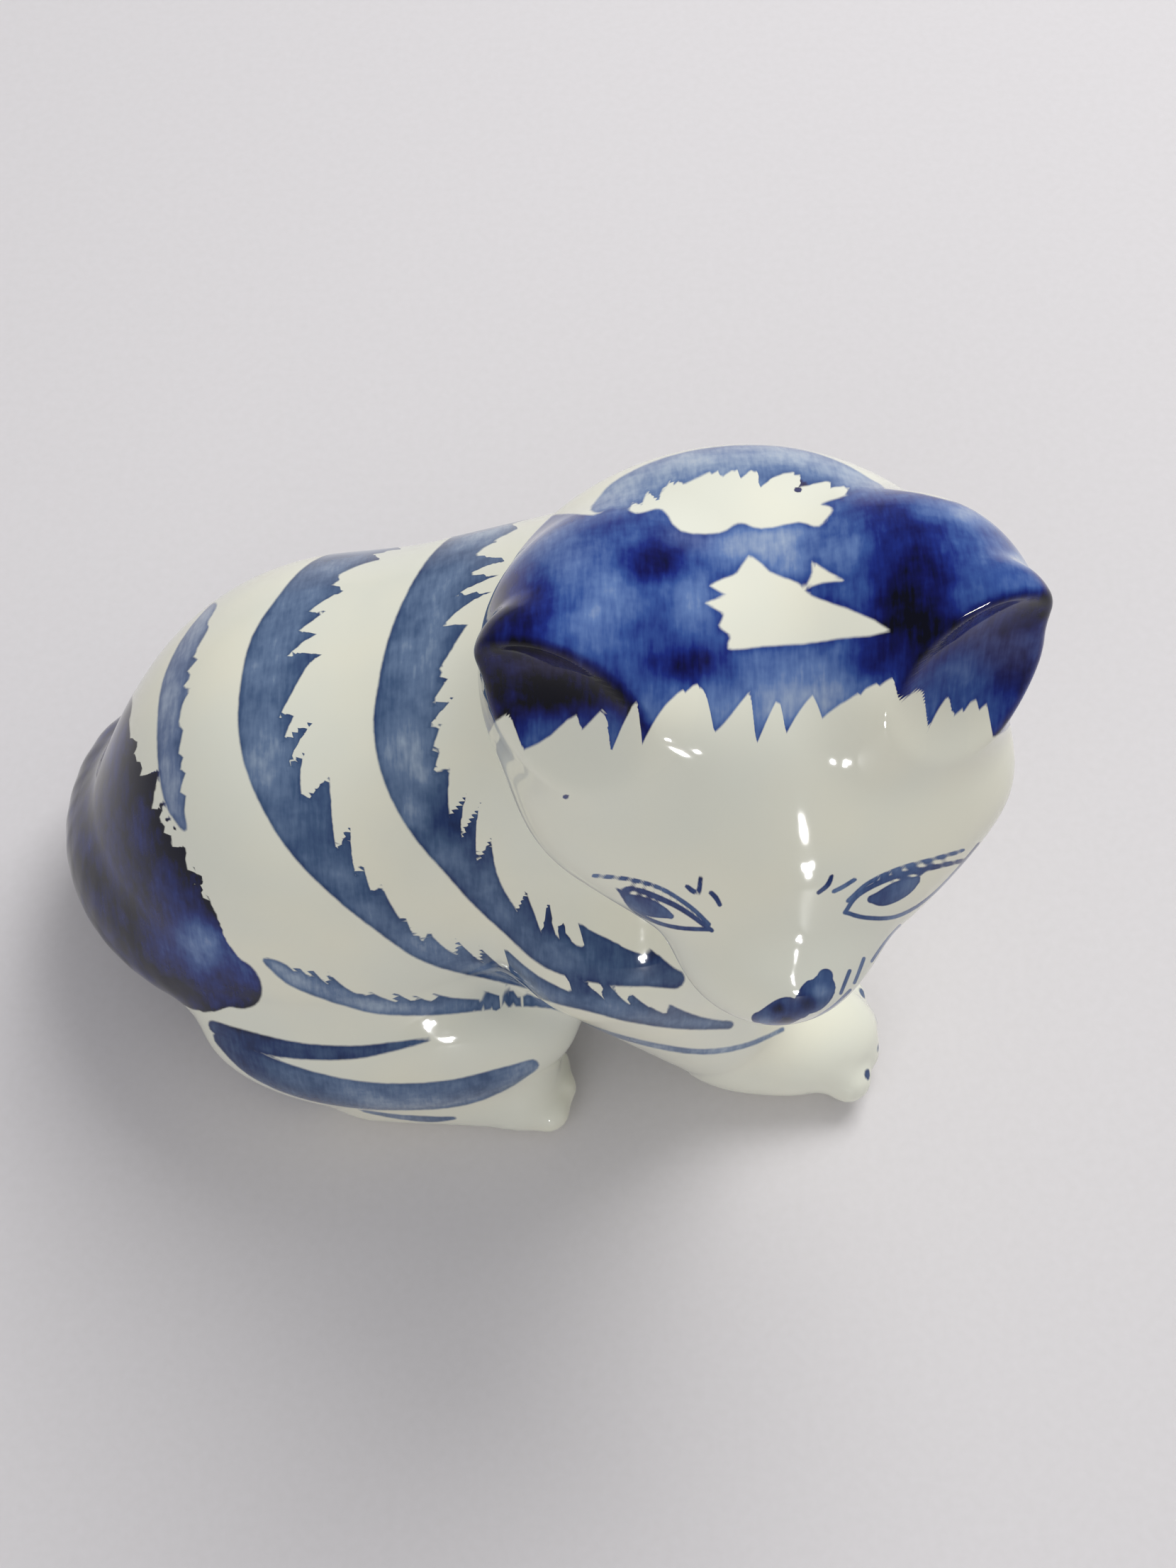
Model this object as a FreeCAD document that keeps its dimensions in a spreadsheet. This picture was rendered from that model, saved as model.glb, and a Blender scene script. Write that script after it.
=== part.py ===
"""Ceramic cat figurine: a seated kitten looking over its right side, slip cast in white porcelain.

The figurine is made as a potter makes it. The body and the head are hollow castings with thin walls, and
the ears, the legs, the hind feet and the tail are pressed in clay and luted on, face to face, with slip.
One firing makes them a single rigid piece, so nothing moves.

Frame: millimetres, +Z up, +X the way the body faces, +Y the cat's left. The origin lies on the flat
underside that the figurine rests on, just ahead of the drain hole.
"""
import FreeCAD, Part
import os
from FreeCAD import Placement, Rotation, Vector

doc = FreeCAD.newDocument("cat_figurine")
sheet = doc.addObject("Spreadsheet::Sheet", "sizes")

# Driving dimensions, in millimetres and degrees.
DIMENSIONS = {
    # the block below the surface that the figurine stands on
    "ground_side": 200.0, "ground_deep": 40.0,
    # the castings' walls and the drain hole
    "wall": 3.6,
    "mouth_rise": 2.0,
    "floor_thick": 3.4,
    "drain_radius": 5.0,
    "drain_back": 14.0,
    # body casting: level, middle, lean to the left and half sizes of each elliptical section,
    # from the foot up to the neck
    "foot_level": 0.0, "foot_middle": -14.0, "foot_lean": 0.0, "foot_long": 24.0, "foot_wide": 18.0,
    "hip_level": 9.0, "hip_middle": -14.0, "hip_lean": 1.0, "hip_long": 31.0, "hip_wide": 24.0,
    "rump_level": 22.0, "rump_middle": -9.5, "rump_lean": 2.0, "rump_long": 38.5, "rump_wide": 27.5,
    "back_level": 36.0, "back_middle": -3.0, "back_lean": 2.0, "back_long": 40.0, "back_wide": 27.5,
    "chest_level": 50.0, "chest_middle": 3.0, "chest_lean": 1.5, "chest_long": 36.0, "chest_wide": 23.0,
    "throat_level": 62.0, "throat_middle": 14.5, "throat_lean": -0.5,
    "throat_long": 24.5, "throat_wide": 20.0,
    "nape_level": 69.0, "nape_middle": 21.5, "nape_lean": -4.0, "nape_long": 19.0, "nape_wide": 17.5,
    "neck_level": 77.0, "neck_middle": 28.5, "neck_lean": -11.5, "neck_long": 15.0, "neck_wide": 14.0,
    # thighs, which are bulges of the body casting
    "thigh_forward": -10.0, "thigh_out": 21.0, "thigh_level": 15.0,
    "thigh_long": 23.0, "thigh_wide": 11.0, "thigh_high": 15.5,
    # hind feet
    "hind_forward": -1.0, "hind_out": 25.0, "hind_level": 5.0,
    "hind_long": 15.0, "hind_wide": 6.6, "hind_high": 6.4,
    # front legs, from the shoulder down to the paw
    "shoulder_forward": 19.0, "shoulder_out": 14.5, "shoulder_level": 37.0, "shoulder_radius": 14.5,
    "wrist_forward": 31.0, "wrist_out": 18.5, "wrist_level": 9.0, "wrist_radius": 7.6,
    "paw_forward": 39.0, "paw_out": 19.5, "paw_level": 6.0,
    "paw_long": 12.5, "paw_wide": 8.0, "paw_high": 7.0,
    # tail, a bow round the rump that ends on the right thigh
    "tail_middle_x": -21.5, "tail_middle_y": 5.5, "tail_level": 17.5,
    "tail_bow": 21.5, "tail_radius": 9.0, "tail_start": 148.0, "tail_sweep": 108.0, "tail_rise": 13.0,
    # head casting, in its own frame: +X its left, -Y the way it looks
    "head_forward": 30.3, "head_aside": -12.5, "head_level": 84.5, "head_roll": -5.0, "head_yaw": 3.0,
    # its elliptical sections from the back to the nose: how far out, how far down, and half sizes
    "poll_out": -21.7, "poll_drop": 0.0, "poll_wide": 3.5, "poll_high": 2.8,
    "occiput_out": -20.0, "occiput_drop": 0.0, "occiput_wide": 9.8, "occiput_high": 7.7,
    "hindskull_out": -15.0, "hindskull_drop": 0.0, "hindskull_wide": 17.2, "hindskull_high": 13.5,
    "crown_out": 0.0, "crown_drop": 0.4, "crown_wide": 23.5, "crown_high": 18.6,
    "cheek_out": 12.0, "cheek_drop": 3.4, "cheek_wide": 22.4, "cheek_high": 18.8,
    "jowl_out": 19.0, "jowl_drop": 4.8, "jowl_wide": 18.8, "jowl_high": 15.6,
    "muzzle_out": 25.0, "muzzle_drop": 7.2, "muzzle_wide": 11.4, "muzzle_high": 11.0,
    "snout_out": 30.0, "snout_drop": 10.0, "snout_wide": 6.6, "snout_high": 6.4,
    "nose_out": 33.0, "nose_drop": 10.8, "nose_wide": 2.4, "nose_high": 2.2,
    # ears, in the head's frame: a hood, a horn from the hood to the tip, a ridge along the front edge,
    # and the scoop that hollows the front
    "hood_out": 14.5, "hood_front": 3.5, "hood_up": 11.5,
    "hood_wide": 11.0, "hood_deep": 11.5, "hood_high": 9.5, "hood_lean": 25.0,
    "horn_out": 14.0, "horn_front": 6.0, "horn_up": 11.0, "horn_radius": 9.0,
    "tip_out": 21.4, "tip_front": 9.0, "tip_up": 18.8, "tip_radius": 4.9,
    "ridge_out": 8.5, "ridge_front": 10.0, "ridge_up": 11.5, "ridge_radius": 5.0,
    "scoop_out": 22.0, "scoop_front": 20.0, "scoop_up": 17.5, "scoop_wide": 14.0,
    "scoop_deep": 11.0, "scoop_high": 13.5, "scoop_lean": 20.0, "scoop_yaw": 25.0,
}
for row, (alias, value) in enumerate(DIMENSIONS.items(), start=1):
    sheet.set(f"A{row}", alias)
    sheet.set(f"B{row}", str(value))
    sheet.setAlias(f"B{row}", alias)
doc.recompute()

SIDES = {"left": 1, "right": -1}
STAGES = ["foot", "hip", "rump", "back", "chest", "throat", "nape", "neck"]
FACE = ["poll", "occiput", "hindskull", "crown", "cheek", "jowl", "muzzle", "snout", "nose"]
HOLLOW_FACE = FACE[2:7]


def size(alias):
    """A driving dimension, read back from the sheet."""
    return float(sheet.get(alias))


HEAD = Placement(
    Vector(size("head_forward"), size("head_aside"), size("head_level")),
    Rotation(size("head_yaw"), size("head_roll"), 0),
)


def primitive(kind, name, sizes, placement):
    """A Part primitive whose sizes are bound to the sheet, at a placement."""
    made = doc.addObject(f"Part::{kind}", name)
    for prop, expression in sizes.items():
        made.setExpression(prop, expression)
    made.Placement = placement
    return made


def ellipsoid(name, along_x, along_y, along_z, placement):
    """An ellipsoid with half sizes along X, Y and Z of its placement."""
    return primitive("Ellipsoid", name, {
        "Radius1": f"sizes.{along_z}",
        "Radius2": f"sizes.{along_x}",
        "Radius3": f"sizes.{along_y}",
    }, placement)


def ball(name, radius, centre):
    """A sphere about a point."""
    return primitive("Sphere", name, {"Radius": f"sizes.{radius}"}, Placement(centre, Rotation()))


def taper(name, radius_from, radius_to, start, end):
    """A cone frustum from one point to another, whose ends get balls of their own."""
    run = end - start
    cone = primitive("Cone", name, {
        "Radius1": f"sizes.{radius_from}",
        "Radius2": f"sizes.{radius_to}",
    }, Placement(start, Rotation(Vector(0, 0, 1), run)))
    cone.Height = run.Length
    return cone


def boolean(kind, name, base, tool):
    """A Part boolean of two objects of the document: Cut or Common."""
    made = doc.addObject(f"Part::{kind}", name)
    made.Base = base
    made.Tool = tool
    return made


def fuse(name, *shapes):
    """Several objects made one."""
    made = doc.addObject("Part::MultiFuse", name)
    made.Shapes = list(shapes)
    return made


def above_ground(name, base):
    """The part of an object that stands above the surface, which gives it a flat foot."""
    return boolean("Cut", name, base, ground)


def section(name, stage, shrink="", level=None):
    """One horizontal elliptical section of the body, less the wall where shrink says so."""
    longways = size(f"{stage}_long") >= size(f"{stage}_wide")
    major, minor = ("long", "wide") if longways else ("wide", "long")
    ring = primitive("Ellipse", name, {
        "MajorRadius": f"sizes.{stage}_{major}{shrink}",
        "MinorRadius": f"sizes.{stage}_{minor}{shrink}",
    }, Placement(Vector(), Rotation(0 if longways else 90, 0, 0)))
    ring.setExpression(".Placement.Base.x", f"sizes.{stage}_middle")
    ring.setExpression(".Placement.Base.y", f"sizes.{stage}_lean")
    ring.setExpression(".Placement.Base.z", level or f"sizes.{stage}_level")
    return ring


def loft(name, rings):
    """A smooth solid through a stack of sections."""
    made = doc.addObject("Part::Loft", name)
    made.Sections = rings
    made.Solid = True
    made.Ruled = False
    return made


def at(*aliases, side=1):
    """The point that three cells give, mirrored to a side of the cat."""
    x, y, z = (size(a) for a in aliases)
    return Vector(x, side * y, z)


def head_point(out, front, up, side=1):
    """A point in the head's frame: out to a side, front towards the nose, and up."""
    return HEAD.multVec(Vector(side * out, -front, up))


# The surface that the figurine stands on, as a block that trims the feet flat.
ground = primitive("Box", "ground", {
    "Length": "sizes.ground_side", "Width": "sizes.ground_side", "Height": "sizes.ground_deep",
}, Placement(Vector(-size("ground_side") / 2, -size("ground_side") / 2, -size("ground_deep")), Rotation()))

# Body casting: a loft of sections with the two thighs, hollow, with a floor and a drain hole.
torso = loft("torso", [section(f"{stage}_ring", stage) for stage in STAGES])
hollow_rings = [
    section(f"{stage}_hollow_ring", stage, " - sizes.wall",
            level="sizes.floor_thick" if stage == "foot" else None)
    for stage in STAGES
]
mouth = section("mouth_ring", "neck", " - sizes.wall", level="sizes.neck_level + sizes.mouth_rise")
torso_hollow = loft("torso_hollow", hollow_rings + [mouth])
thighs = {
    side: ellipsoid(f"{side}_thigh", "thigh_long", "thigh_wide", "thigh_high",
                    Placement(at("thigh_forward", "thigh_out", "thigh_level", side=sign), Rotation()))
    for side, sign in SIDES.items()
}
body_block = above_ground("body_block", fuse("torso_and_thighs", torso, *thighs.values()))
drain = primitive("Cylinder", "drain", {
    "Radius": "sizes.drain_radius", "Height": "sizes.floor_thick * 3",
}, Placement(Vector(-size("drain_back"), 0, -size("floor_thick")), Rotation()))
body_shell = boolean("Cut", "body_shell", body_block, fuse("body_hollow", torso_hollow, drain))

# Head casting: a loft from the back of the skull to the nose, hollow, and open below onto the neck.
LOOK = Rotation(Vector(0, 0, 1), Vector(0, -1, 0))


def face_section(name, stage, shrink=""):
    """One elliptical section of the head, across the way it looks, less the wall where shrink says so."""
    place = Placement(Vector(0, -size(f"{stage}_out"), -size(f"{stage}_drop")), LOOK)
    return primitive("Ellipse", name, {
        "MajorRadius": f"sizes.{stage}_wide{shrink}",
        "MinorRadius": f"sizes.{stage}_high{shrink}",
    }, HEAD.multiply(place))


head_block = loft("head_block", [face_section(f"{stage}_face_ring", stage) for stage in FACE])
head_hollow = loft("head_hollow", [
    face_section(f"{stage}_face_hollow_ring", stage, " - sizes.wall") for stage in HOLLOW_FACE
])
head_shell = boolean("Cut", "head_shell", head_block, fuse("head_room", head_hollow, torso))

# Ears: a hood, a horn up to the tip and a ridge, scooped out in front and cut to the skull.
ears = []
for side, sign in SIDES.items():
    hood_middle = Vector(sign * size("hood_out"), -size("hood_front"), size("hood_up"))
    hood_turn = Rotation(Vector(0, 1, 0), sign * size("hood_lean"))
    hood = ellipsoid(f"{side}_ear_hood", "hood_wide", "hood_deep", "hood_high",
                     HEAD.multiply(Placement(hood_middle, hood_turn)))
    root, tip, ridge = (
        head_point(*(size(f"{spot}_{way}") for way in ("out", "front", "up")), side=sign)
        for spot in ("horn", "tip", "ridge")
    )
    lump = fuse(f"{side}_ear_lump", hood,
                ball(f"{side}_ear_root", "horn_radius", root),
                taper(f"{side}_ear_horn", "horn_radius", "tip_radius", root, tip),
                ball(f"{side}_ear_tip", "tip_radius", tip),
                ball(f"{side}_ear_ridge_root", "ridge_radius", ridge),
                taper(f"{side}_ear_ridge", "ridge_radius", "tip_radius", ridge, tip))
    scoop_middle = Vector(sign * size("scoop_out"), -size("scoop_front"), size("scoop_up"))
    scoop_turn = Rotation(Vector(0, 0, 1), sign * size("scoop_yaw")).multiply(
        Rotation(Vector(0, 1, 0), sign * size("scoop_lean")))
    scoop = ellipsoid(f"{side}_ear_scoop", "scoop_wide", "scoop_deep", "scoop_high",
                      HEAD.multiply(Placement(scoop_middle, scoop_turn)))
    ears.append(boolean("Cut", f"{side}_ear", lump, fuse(f"{side}_ear_room", scoop, head_block)))

# Front legs and hind feet: pressed clay, cut to the body and flat underneath.
legs, hind_feet = [], []
for side, sign in SIDES.items():
    shoulder = at("shoulder_forward", "shoulder_out", "shoulder_level", side=sign)
    wrist = at("wrist_forward", "wrist_out", "wrist_level", side=sign)
    paw = ellipsoid(f"{side}_paw", "paw_long", "paw_wide", "paw_high",
                    Placement(at("paw_forward", "paw_out", "paw_level", side=sign), Rotation()))
    limb = fuse(f"{side}_front_limb",
                ball(f"{side}_shoulder", "shoulder_radius", shoulder),
                taper(f"{side}_forearm", "shoulder_radius", "wrist_radius", shoulder, wrist),
                ball(f"{side}_wrist", "wrist_radius", wrist),
                paw)
    flat_limb = above_ground(f"{side}_front_limb_flat", limb)
    legs.append(boolean("Cut", f"{side}_front_leg", flat_limb, body_block))
    foot = ellipsoid(f"{side}_hind_paw", "hind_long", "hind_wide", "hind_high",
                     Placement(at("hind_forward", "hind_out", "hind_level", side=sign), Rotation()))
    flat_foot = above_ground(f"{side}_hind_paw_flat", foot)
    hind_feet.append(boolean("Cut", f"{side}_hind_foot", flat_foot, body_block))

# Tail: part of a ring round the rump, tilted so that its tip lies higher, on the right thigh.
bow = primitive("Torus", "tail_bow_ring", {
    "Radius1": "sizes.tail_bow", "Radius2": "sizes.tail_radius", "Angle3": "sizes.tail_sweep",
}, Placement(Vector(size("tail_middle_x"), size("tail_middle_y"), size("tail_level")),
             Rotation(0, 0, size("tail_rise")).multiply(Rotation(size("tail_start"), 0, 0))))
ends = []
for end, turn in (("root", 0.0), ("tip", size("tail_sweep"))):
    along = Rotation(turn, 0, 0).multVec(Vector(size("tail_bow"), 0, 0))
    ends.append(ball(f"tail_{end}", "tail_radius", bow.Placement.multVec(along)))
tail = boolean("Cut", "tail", fuse("tail_roll", bow, *ends), body_block)

PIECES = [body_shell, head_shell, *ears, *legs, *hind_feet, tail]

doc.recompute()
for made in doc.Objects:
    if {"Invalid", "Error"} & set(made.State):
        raise RuntimeError(f"{made.Label} failed: {made.State}")
os.makedirs("parts", exist_ok=True)
for piece in PIECES:
    piece.Label = piece.Name
    shape = piece.Shape
    if shape.isNull() or not shape.isValid() or not shape.Solids:
        raise RuntimeError(f"{piece.Label} isn't a sound solid")
    box = shape.BoundBox
    print(f"{piece.Label}: {len(shape.Solids)} solid, {shape.Volume / 1000:.1f} cm3, "
          f"X {box.XMin:.1f}..{box.XMax:.1f} Y {box.YMin:.1f}..{box.YMax:.1f} "
          f"Z {box.ZMin:.1f}..{box.ZMax:.1f}")
    shape.exportStep(f"parts/{piece.Label}.step")
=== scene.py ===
"""A seated porcelain kitten, painted in cobalt by hand and glazed, on a pale table.

Every piece of the kitten is felt out of one clay shape. Each piece owns some lumps (eggs and tapered
limbs), all the lumps melt together into one distance field, and a piece's skin is where rays from its own
spindle leave that field. Neighbouring skins so run into each other without a step, and each piece sinks
gently under its neighbour where the neighbour takes over. Lengths are millimetres in the frame of the CAD
model until a mesh is made, and `Kitten.scale` turns them into metres.
"""
import logging
import math
from dataclasses import dataclass, field
from enum import Enum
from typing import Any, Callable, Iterable, Sequence, Union

import bpy
import numpy as np
from mathutils import Matrix, Vector


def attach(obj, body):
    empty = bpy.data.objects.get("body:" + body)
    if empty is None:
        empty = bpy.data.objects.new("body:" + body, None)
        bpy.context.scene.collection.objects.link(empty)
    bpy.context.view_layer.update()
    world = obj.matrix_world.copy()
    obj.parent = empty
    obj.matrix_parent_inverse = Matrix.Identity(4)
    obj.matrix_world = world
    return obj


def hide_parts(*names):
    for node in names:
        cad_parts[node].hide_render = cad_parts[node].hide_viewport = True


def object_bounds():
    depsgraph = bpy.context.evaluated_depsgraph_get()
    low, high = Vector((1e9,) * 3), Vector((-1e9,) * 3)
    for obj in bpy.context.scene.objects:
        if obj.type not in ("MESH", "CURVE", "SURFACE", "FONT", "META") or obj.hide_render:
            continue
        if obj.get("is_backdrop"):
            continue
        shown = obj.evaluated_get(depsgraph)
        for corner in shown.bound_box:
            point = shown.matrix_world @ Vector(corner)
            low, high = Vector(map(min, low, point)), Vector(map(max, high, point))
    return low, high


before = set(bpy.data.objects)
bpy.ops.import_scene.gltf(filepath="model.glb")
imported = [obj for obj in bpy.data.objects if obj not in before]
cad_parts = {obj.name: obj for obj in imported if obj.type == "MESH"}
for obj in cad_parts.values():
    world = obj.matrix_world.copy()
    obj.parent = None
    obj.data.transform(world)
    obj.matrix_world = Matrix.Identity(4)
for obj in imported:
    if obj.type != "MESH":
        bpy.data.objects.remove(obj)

LOG = logging.getLogger("kitten")
Array = np.ndarray
Point = tuple[float, float, float]
FAR = 99.0
TINY = 1e-9
NOMINAL_HEIGHT = 109.99
TILT = math.radians(62.0)
UP = np.array([0.0, math.sin(TILT), math.cos(TILT)])
OUT = np.array([0.0, -math.cos(TILT), math.sin(TILT)])


class Slot(Enum):
    """The record's material slots."""

    WHITE = "white_glaze"
    COBALT = "cobalt_glaze"


class Side(Enum):
    """The cat's own sides, as the sign of Y on its body."""

    LEFT = 1
    RIGHT = -1


# ---------------------------------------------------------------------------------------------- clay


def melt(a: Array, b: Array, reach: float) -> Array:
    """Joins two distance fields, rounding the crease between them.

    The lesser of the two, less a parabola in their difference that is widest where they are equal.

    Args:
        a: Distances to one shape.
        b: Distances to the other.
        reach: How far from the crease the rounding starts.

    Returns:
        The distances to both shapes melted together.
    """
    share = np.clip(0.5 + 0.5 * (b - a) / reach, 0.0, 1.0)
    return b + (a - b) * share - reach * share * (1.0 - share)


def carve(a: Array, b: Array, reach: float) -> Array:
    """The greater of two fields with a rounded edge, which cuts one shape by the other."""
    return -melt(-a, -b, reach)


def turned(x: float = 0.0, y: float = 0.0, z: float = 0.0) -> Array:
    """The matrix that turns by degrees about X, then Y, then Z."""
    turns = [Matrix.Rotation(math.radians(d), 3, axis) for d, axis in ((z, "Z"), (y, "Y"), (x, "X"))]
    return np.array(turns[0] @ turns[1] @ turns[2])


@dataclass(frozen=True)
class Egg:
    """An ellipsoid of clay.

    Its distance is k(k - 1) / m, where k is the length of the point divided by the radii, and m the
    length of the point divided by their squares.
    """

    centre: Point
    radii: Point
    reach: float = 0.0
    turn: Point = (0.0, 0.0, 0.0)

    def distance(self, p: Array) -> Array:
        """How far points are outside the egg.

        Args:
            p: Points, in millimetres.

        Returns:
            The distances, below 0 inside.
        """
        q = (p - np.array(self.centre)) @ turned(*self.turn)
        radii = np.array(self.radii)
        k = np.linalg.norm(q / radii, axis=-1)
        m = np.linalg.norm(q / radii**2, axis=-1) + TINY
        return k * (k - 1.0) / m


@dataclass(frozen=True)
class Limb:
    """Two balls and the cone that touches both.

    A point beyond either end of the cone is measured to that ball, and any other point to the cone's
    side, so the distance is exact and smooth all over.
    """

    start: Point
    end: Point
    start_radius: float
    end_radius: float
    reach: float = 0.0

    def distance(self, p: Array) -> Array:
        """How far points are outside the limb.

        Args:
            p: Points, in millimetres.

        Returns:
            The distances, below 0 inside.
        """
        start = np.array(self.start)
        run = np.array(self.end) - start
        length2 = float(run @ run)
        shrink = self.start_radius - self.end_radius
        slope2 = length2 - shrink * shrink
        from_start = p - start
        along = from_start @ run
        past = along - length2
        across2 = ((from_start * length2 - run * along[..., None]) ** 2).sum(-1)
        edge = math.copysign(shrink * shrink, shrink) * across2
        end_ball = np.sqrt(across2 + past**2 * length2) / length2 - self.end_radius
        start_ball = np.sqrt(across2 + along**2 * length2) / length2 - self.start_radius
        side = (np.sqrt(across2 * slope2 / length2) + along * shrink) / length2 - self.start_radius
        at_end = np.sign(past) * slope2 * past**2 * length2 > edge
        at_start = np.sign(along) * slope2 * along**2 * length2 < edge
        return np.where(at_end, end_ball, np.where(at_start, start_ball, side))


Lump = Union[Egg, Limb]


def gather(lumps: Sequence[Lump], p: Array) -> Array:
    """Melts lumps together in turn, each with its own reach, into one distance field.

    Args:
        lumps: The lumps. The first one's reach is not used.
        p: Points, in millimetres.

    Returns:
        How far the points are outside the clay.
    """
    near = lumps[0].distance(p)
    for lump in lumps[1:]:
        near = melt(near, lump.distance(p), lump.reach)
    return near


@dataclass(frozen=True)
class Spindle:
    """The line inside a piece from which rays feel for its skin.

    A ray's start runs along the line. Its direction turns from straight back at the first pole, through
    square to the line along its length, to straight on at the last pole, like a capsule's normals.
    """

    start: Point
    end: Point
    rows: int
    columns: int
    caps: tuple[float, float] = (0.3, 0.3)

    def axis(self) -> Array:
        """The unit vector along the line."""
        run = np.array(self.end) - np.array(self.start)
        return run / np.linalg.norm(run)

    def rays(self) -> tuple[Array, Array, tuple[int, int]]:
        """The starts and directions of the rays.

        Returns:
            The starts and the directions, row by row with the two poles last, and the grid's shape.
        """
        coarse = 1
        rows, columns = self.rows // coarse, self.columns // coarse
        start, end, axis = np.array(self.start), np.array(self.end), self.axis()
        first = np.cross((0.0, 0.0, 1.0) if abs(axis[2]) < 0.8 else (0.0, 1.0, 0.0), axis)
        first /= np.linalg.norm(first)
        second = np.cross(axis, first)
        u = (np.arange(rows) + 0.5) / rows
        low, high = self.caps
        shaft = np.clip((u - low) / (1.0 - low - high), 0.0, 1.0)
        pitch = np.where(u < low, u / low - 1.0, np.clip((u - 1.0 + high) / high, 0.0, 1.0)) * math.pi / 2.0
        around = np.arange(columns) * 2.0 * math.pi / columns
        ring = np.cos(around)[:, None] * first + np.sin(around)[:, None] * second
        directions = np.cos(pitch)[:, None, None] * ring + np.sin(pitch)[:, None, None] * axis
        starts = start + shaft[:, None, None] * (end - start) + np.zeros_like(directions)
        starts = np.concatenate([starts.reshape(-1, 3), [start, end]])
        directions = np.concatenate([directions.reshape(-1, 3), [-axis, axis]])
        return starts, directions, (rows, columns)


def grid_faces(rows: int, columns: int) -> list[tuple[int, ...]]:
    """The faces of a grid that closes round on itself and onto two poles.

    Args:
        rows: Rings of points.
        columns: Points in a ring.

    Returns:
        Quads between the rings, and triangles to the first pole and the last pole.
    """
    index = np.arange(rows * columns).reshape(rows, columns)
    after = np.roll(index, -1, axis=1)
    quads = np.stack([index[:-1], after[:-1], after[1:], index[1:]], axis=-1).reshape(-1, 4)
    first, last = rows * columns, rows * columns + 1
    start = np.stack([np.full(columns, first), after[0], index[0]], axis=-1)
    end = np.stack([np.full(columns, last), index[-1], after[-1]], axis=-1)
    return [*map(tuple, quads.tolist()), *map(tuple, start.tolist()), *map(tuple, end.tolist())]


HEAD_PLACE = np.array([30.3, -12.5, 84.5])
HEAD_TURN = turned(y=-5.0, z=3.0)


def in_head(p: Array) -> Array:
    """Points in the head's own frame: +X its left, -Y the way it looks."""
    return (p - HEAD_PLACE) @ HEAD_TURN


def from_head(point: Point) -> Point:
    """A point of the head's frame, in the cat's."""
    x, y, z = HEAD_TURN @ np.array(point) + HEAD_PLACE
    return float(x), float(y), float(z)


@dataclass(frozen=True)
class Piece:
    """One piece of the kitten, which stands for the CAD node of its name.

    `own` is the distance field of its clay, and `touches` names the pieces that shape its skin with it.
    `blend` is how widely it melts into them, and `margin` how far its skin may lie outside its own clay.
    """

    name: str
    slot: Slot
    spindle: Spindle
    own: Callable[[Array], Array]
    touches: tuple[str, ...]
    blend: float = 5.0
    margin: float = 2.6


@dataclass
class Torso:
    """Rump, back, chest, neck and thighs: the hollow body casting."""

    lumps: tuple[Lump, ...] = (
        Egg((-17.0, 2.0, 25.0), (27.0, 27.0, 26.5)),
        Egg((-28.0, 1.0, 18.0), (20.0, 18.0, 18.0), reach=8.0),
        Limb((-11.0, 2.0, 35.0), (16.0, 2.7, 51.0), 25.0, 21.6, reach=12.0),
        Egg((20.0, 0.0, 42.0), (17.0, 20.0, 24.0), reach=10.0),
        Limb((20.0, -2.0, 60.0), (28.0, -8.0, 78.0), 17.0, 16.0, reach=8.0),
    )
    thigh_middle: Point = (-10.0, 20.9, 15.0)
    thigh_radii: Point = (23.0, 11.0, 15.0)
    thigh_reach: float = 3.5

    def own(self, p: Array) -> Array:
        """The body's distance field.

        Args:
            p: Points, in millimetres.

        Returns:
            How far they are outside the body.
        """
        near = gather(self.lumps, p)
        x, y, z = self.thigh_middle
        for side in Side:
            near = melt(near, Egg((x, side.value * y, z), self.thigh_radii).distance(p), self.thigh_reach)
        return near

    def piece(self) -> Piece:
        """The body casting.

        Returns:
            The piece, which all the others touch.
        """
        spindle = Spindle((-19.0, 0.5, 20.0), (25.0, -6.0, 62.0), 290, 320, (0.36, 0.22))
        touches = tuple(f"{s}_{n}" for s in ("left", "right") for n in ("front_leg", "hind_foot"))
        return Piece("body_shell", Slot.WHITE, spindle, self.own, (*touches, "tail", "head_shell"))


@dataclass
class Head:
    """The head casting, in its own frame: skull, cheeks, muzzle and nose."""

    lumps: tuple[Lump, ...] = (
        Egg((-2.0, 0.0, 0.0), (25.0, 22.0, 18.5)),
        Egg((0.0, -5.2, 3.0), (21.5, 16.4, 15.2), reach=3.0),
        Egg((0.2, -10.8, -5.0), (23.2, 13.0, 13.0), reach=5.0),
        Limb((1.4, -15.0, -7.4), (-0.4, -24.8, -10.2), 12.8, 7.5, reach=8.0),
        Egg((-0.6, -24.8, -10.6), (9.0, 7.2, 6.6), reach=3.0),
        Egg((0.6, -30.5, -9.2), (3.2, 1.5, 2.0), reach=2.0),
    )

    def own(self, p: Array) -> Array:
        """The head's distance field."""
        return gather(self.lumps, in_head(p))

    def piece(self) -> Piece:
        """The head casting.

        Returns:
            The piece.
        """
        spindle = Spindle(from_head((0.0, 6.0, 0.0)), from_head((0.0, -22.0, -8.5)), 290, 340, (0.26, 0.5))
        touches = ("body_shell", "left_ear", "right_ear")
        return Piece("head_shell", Slot.WHITE, spindle, self.own, touches, blend=4.0)


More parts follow.
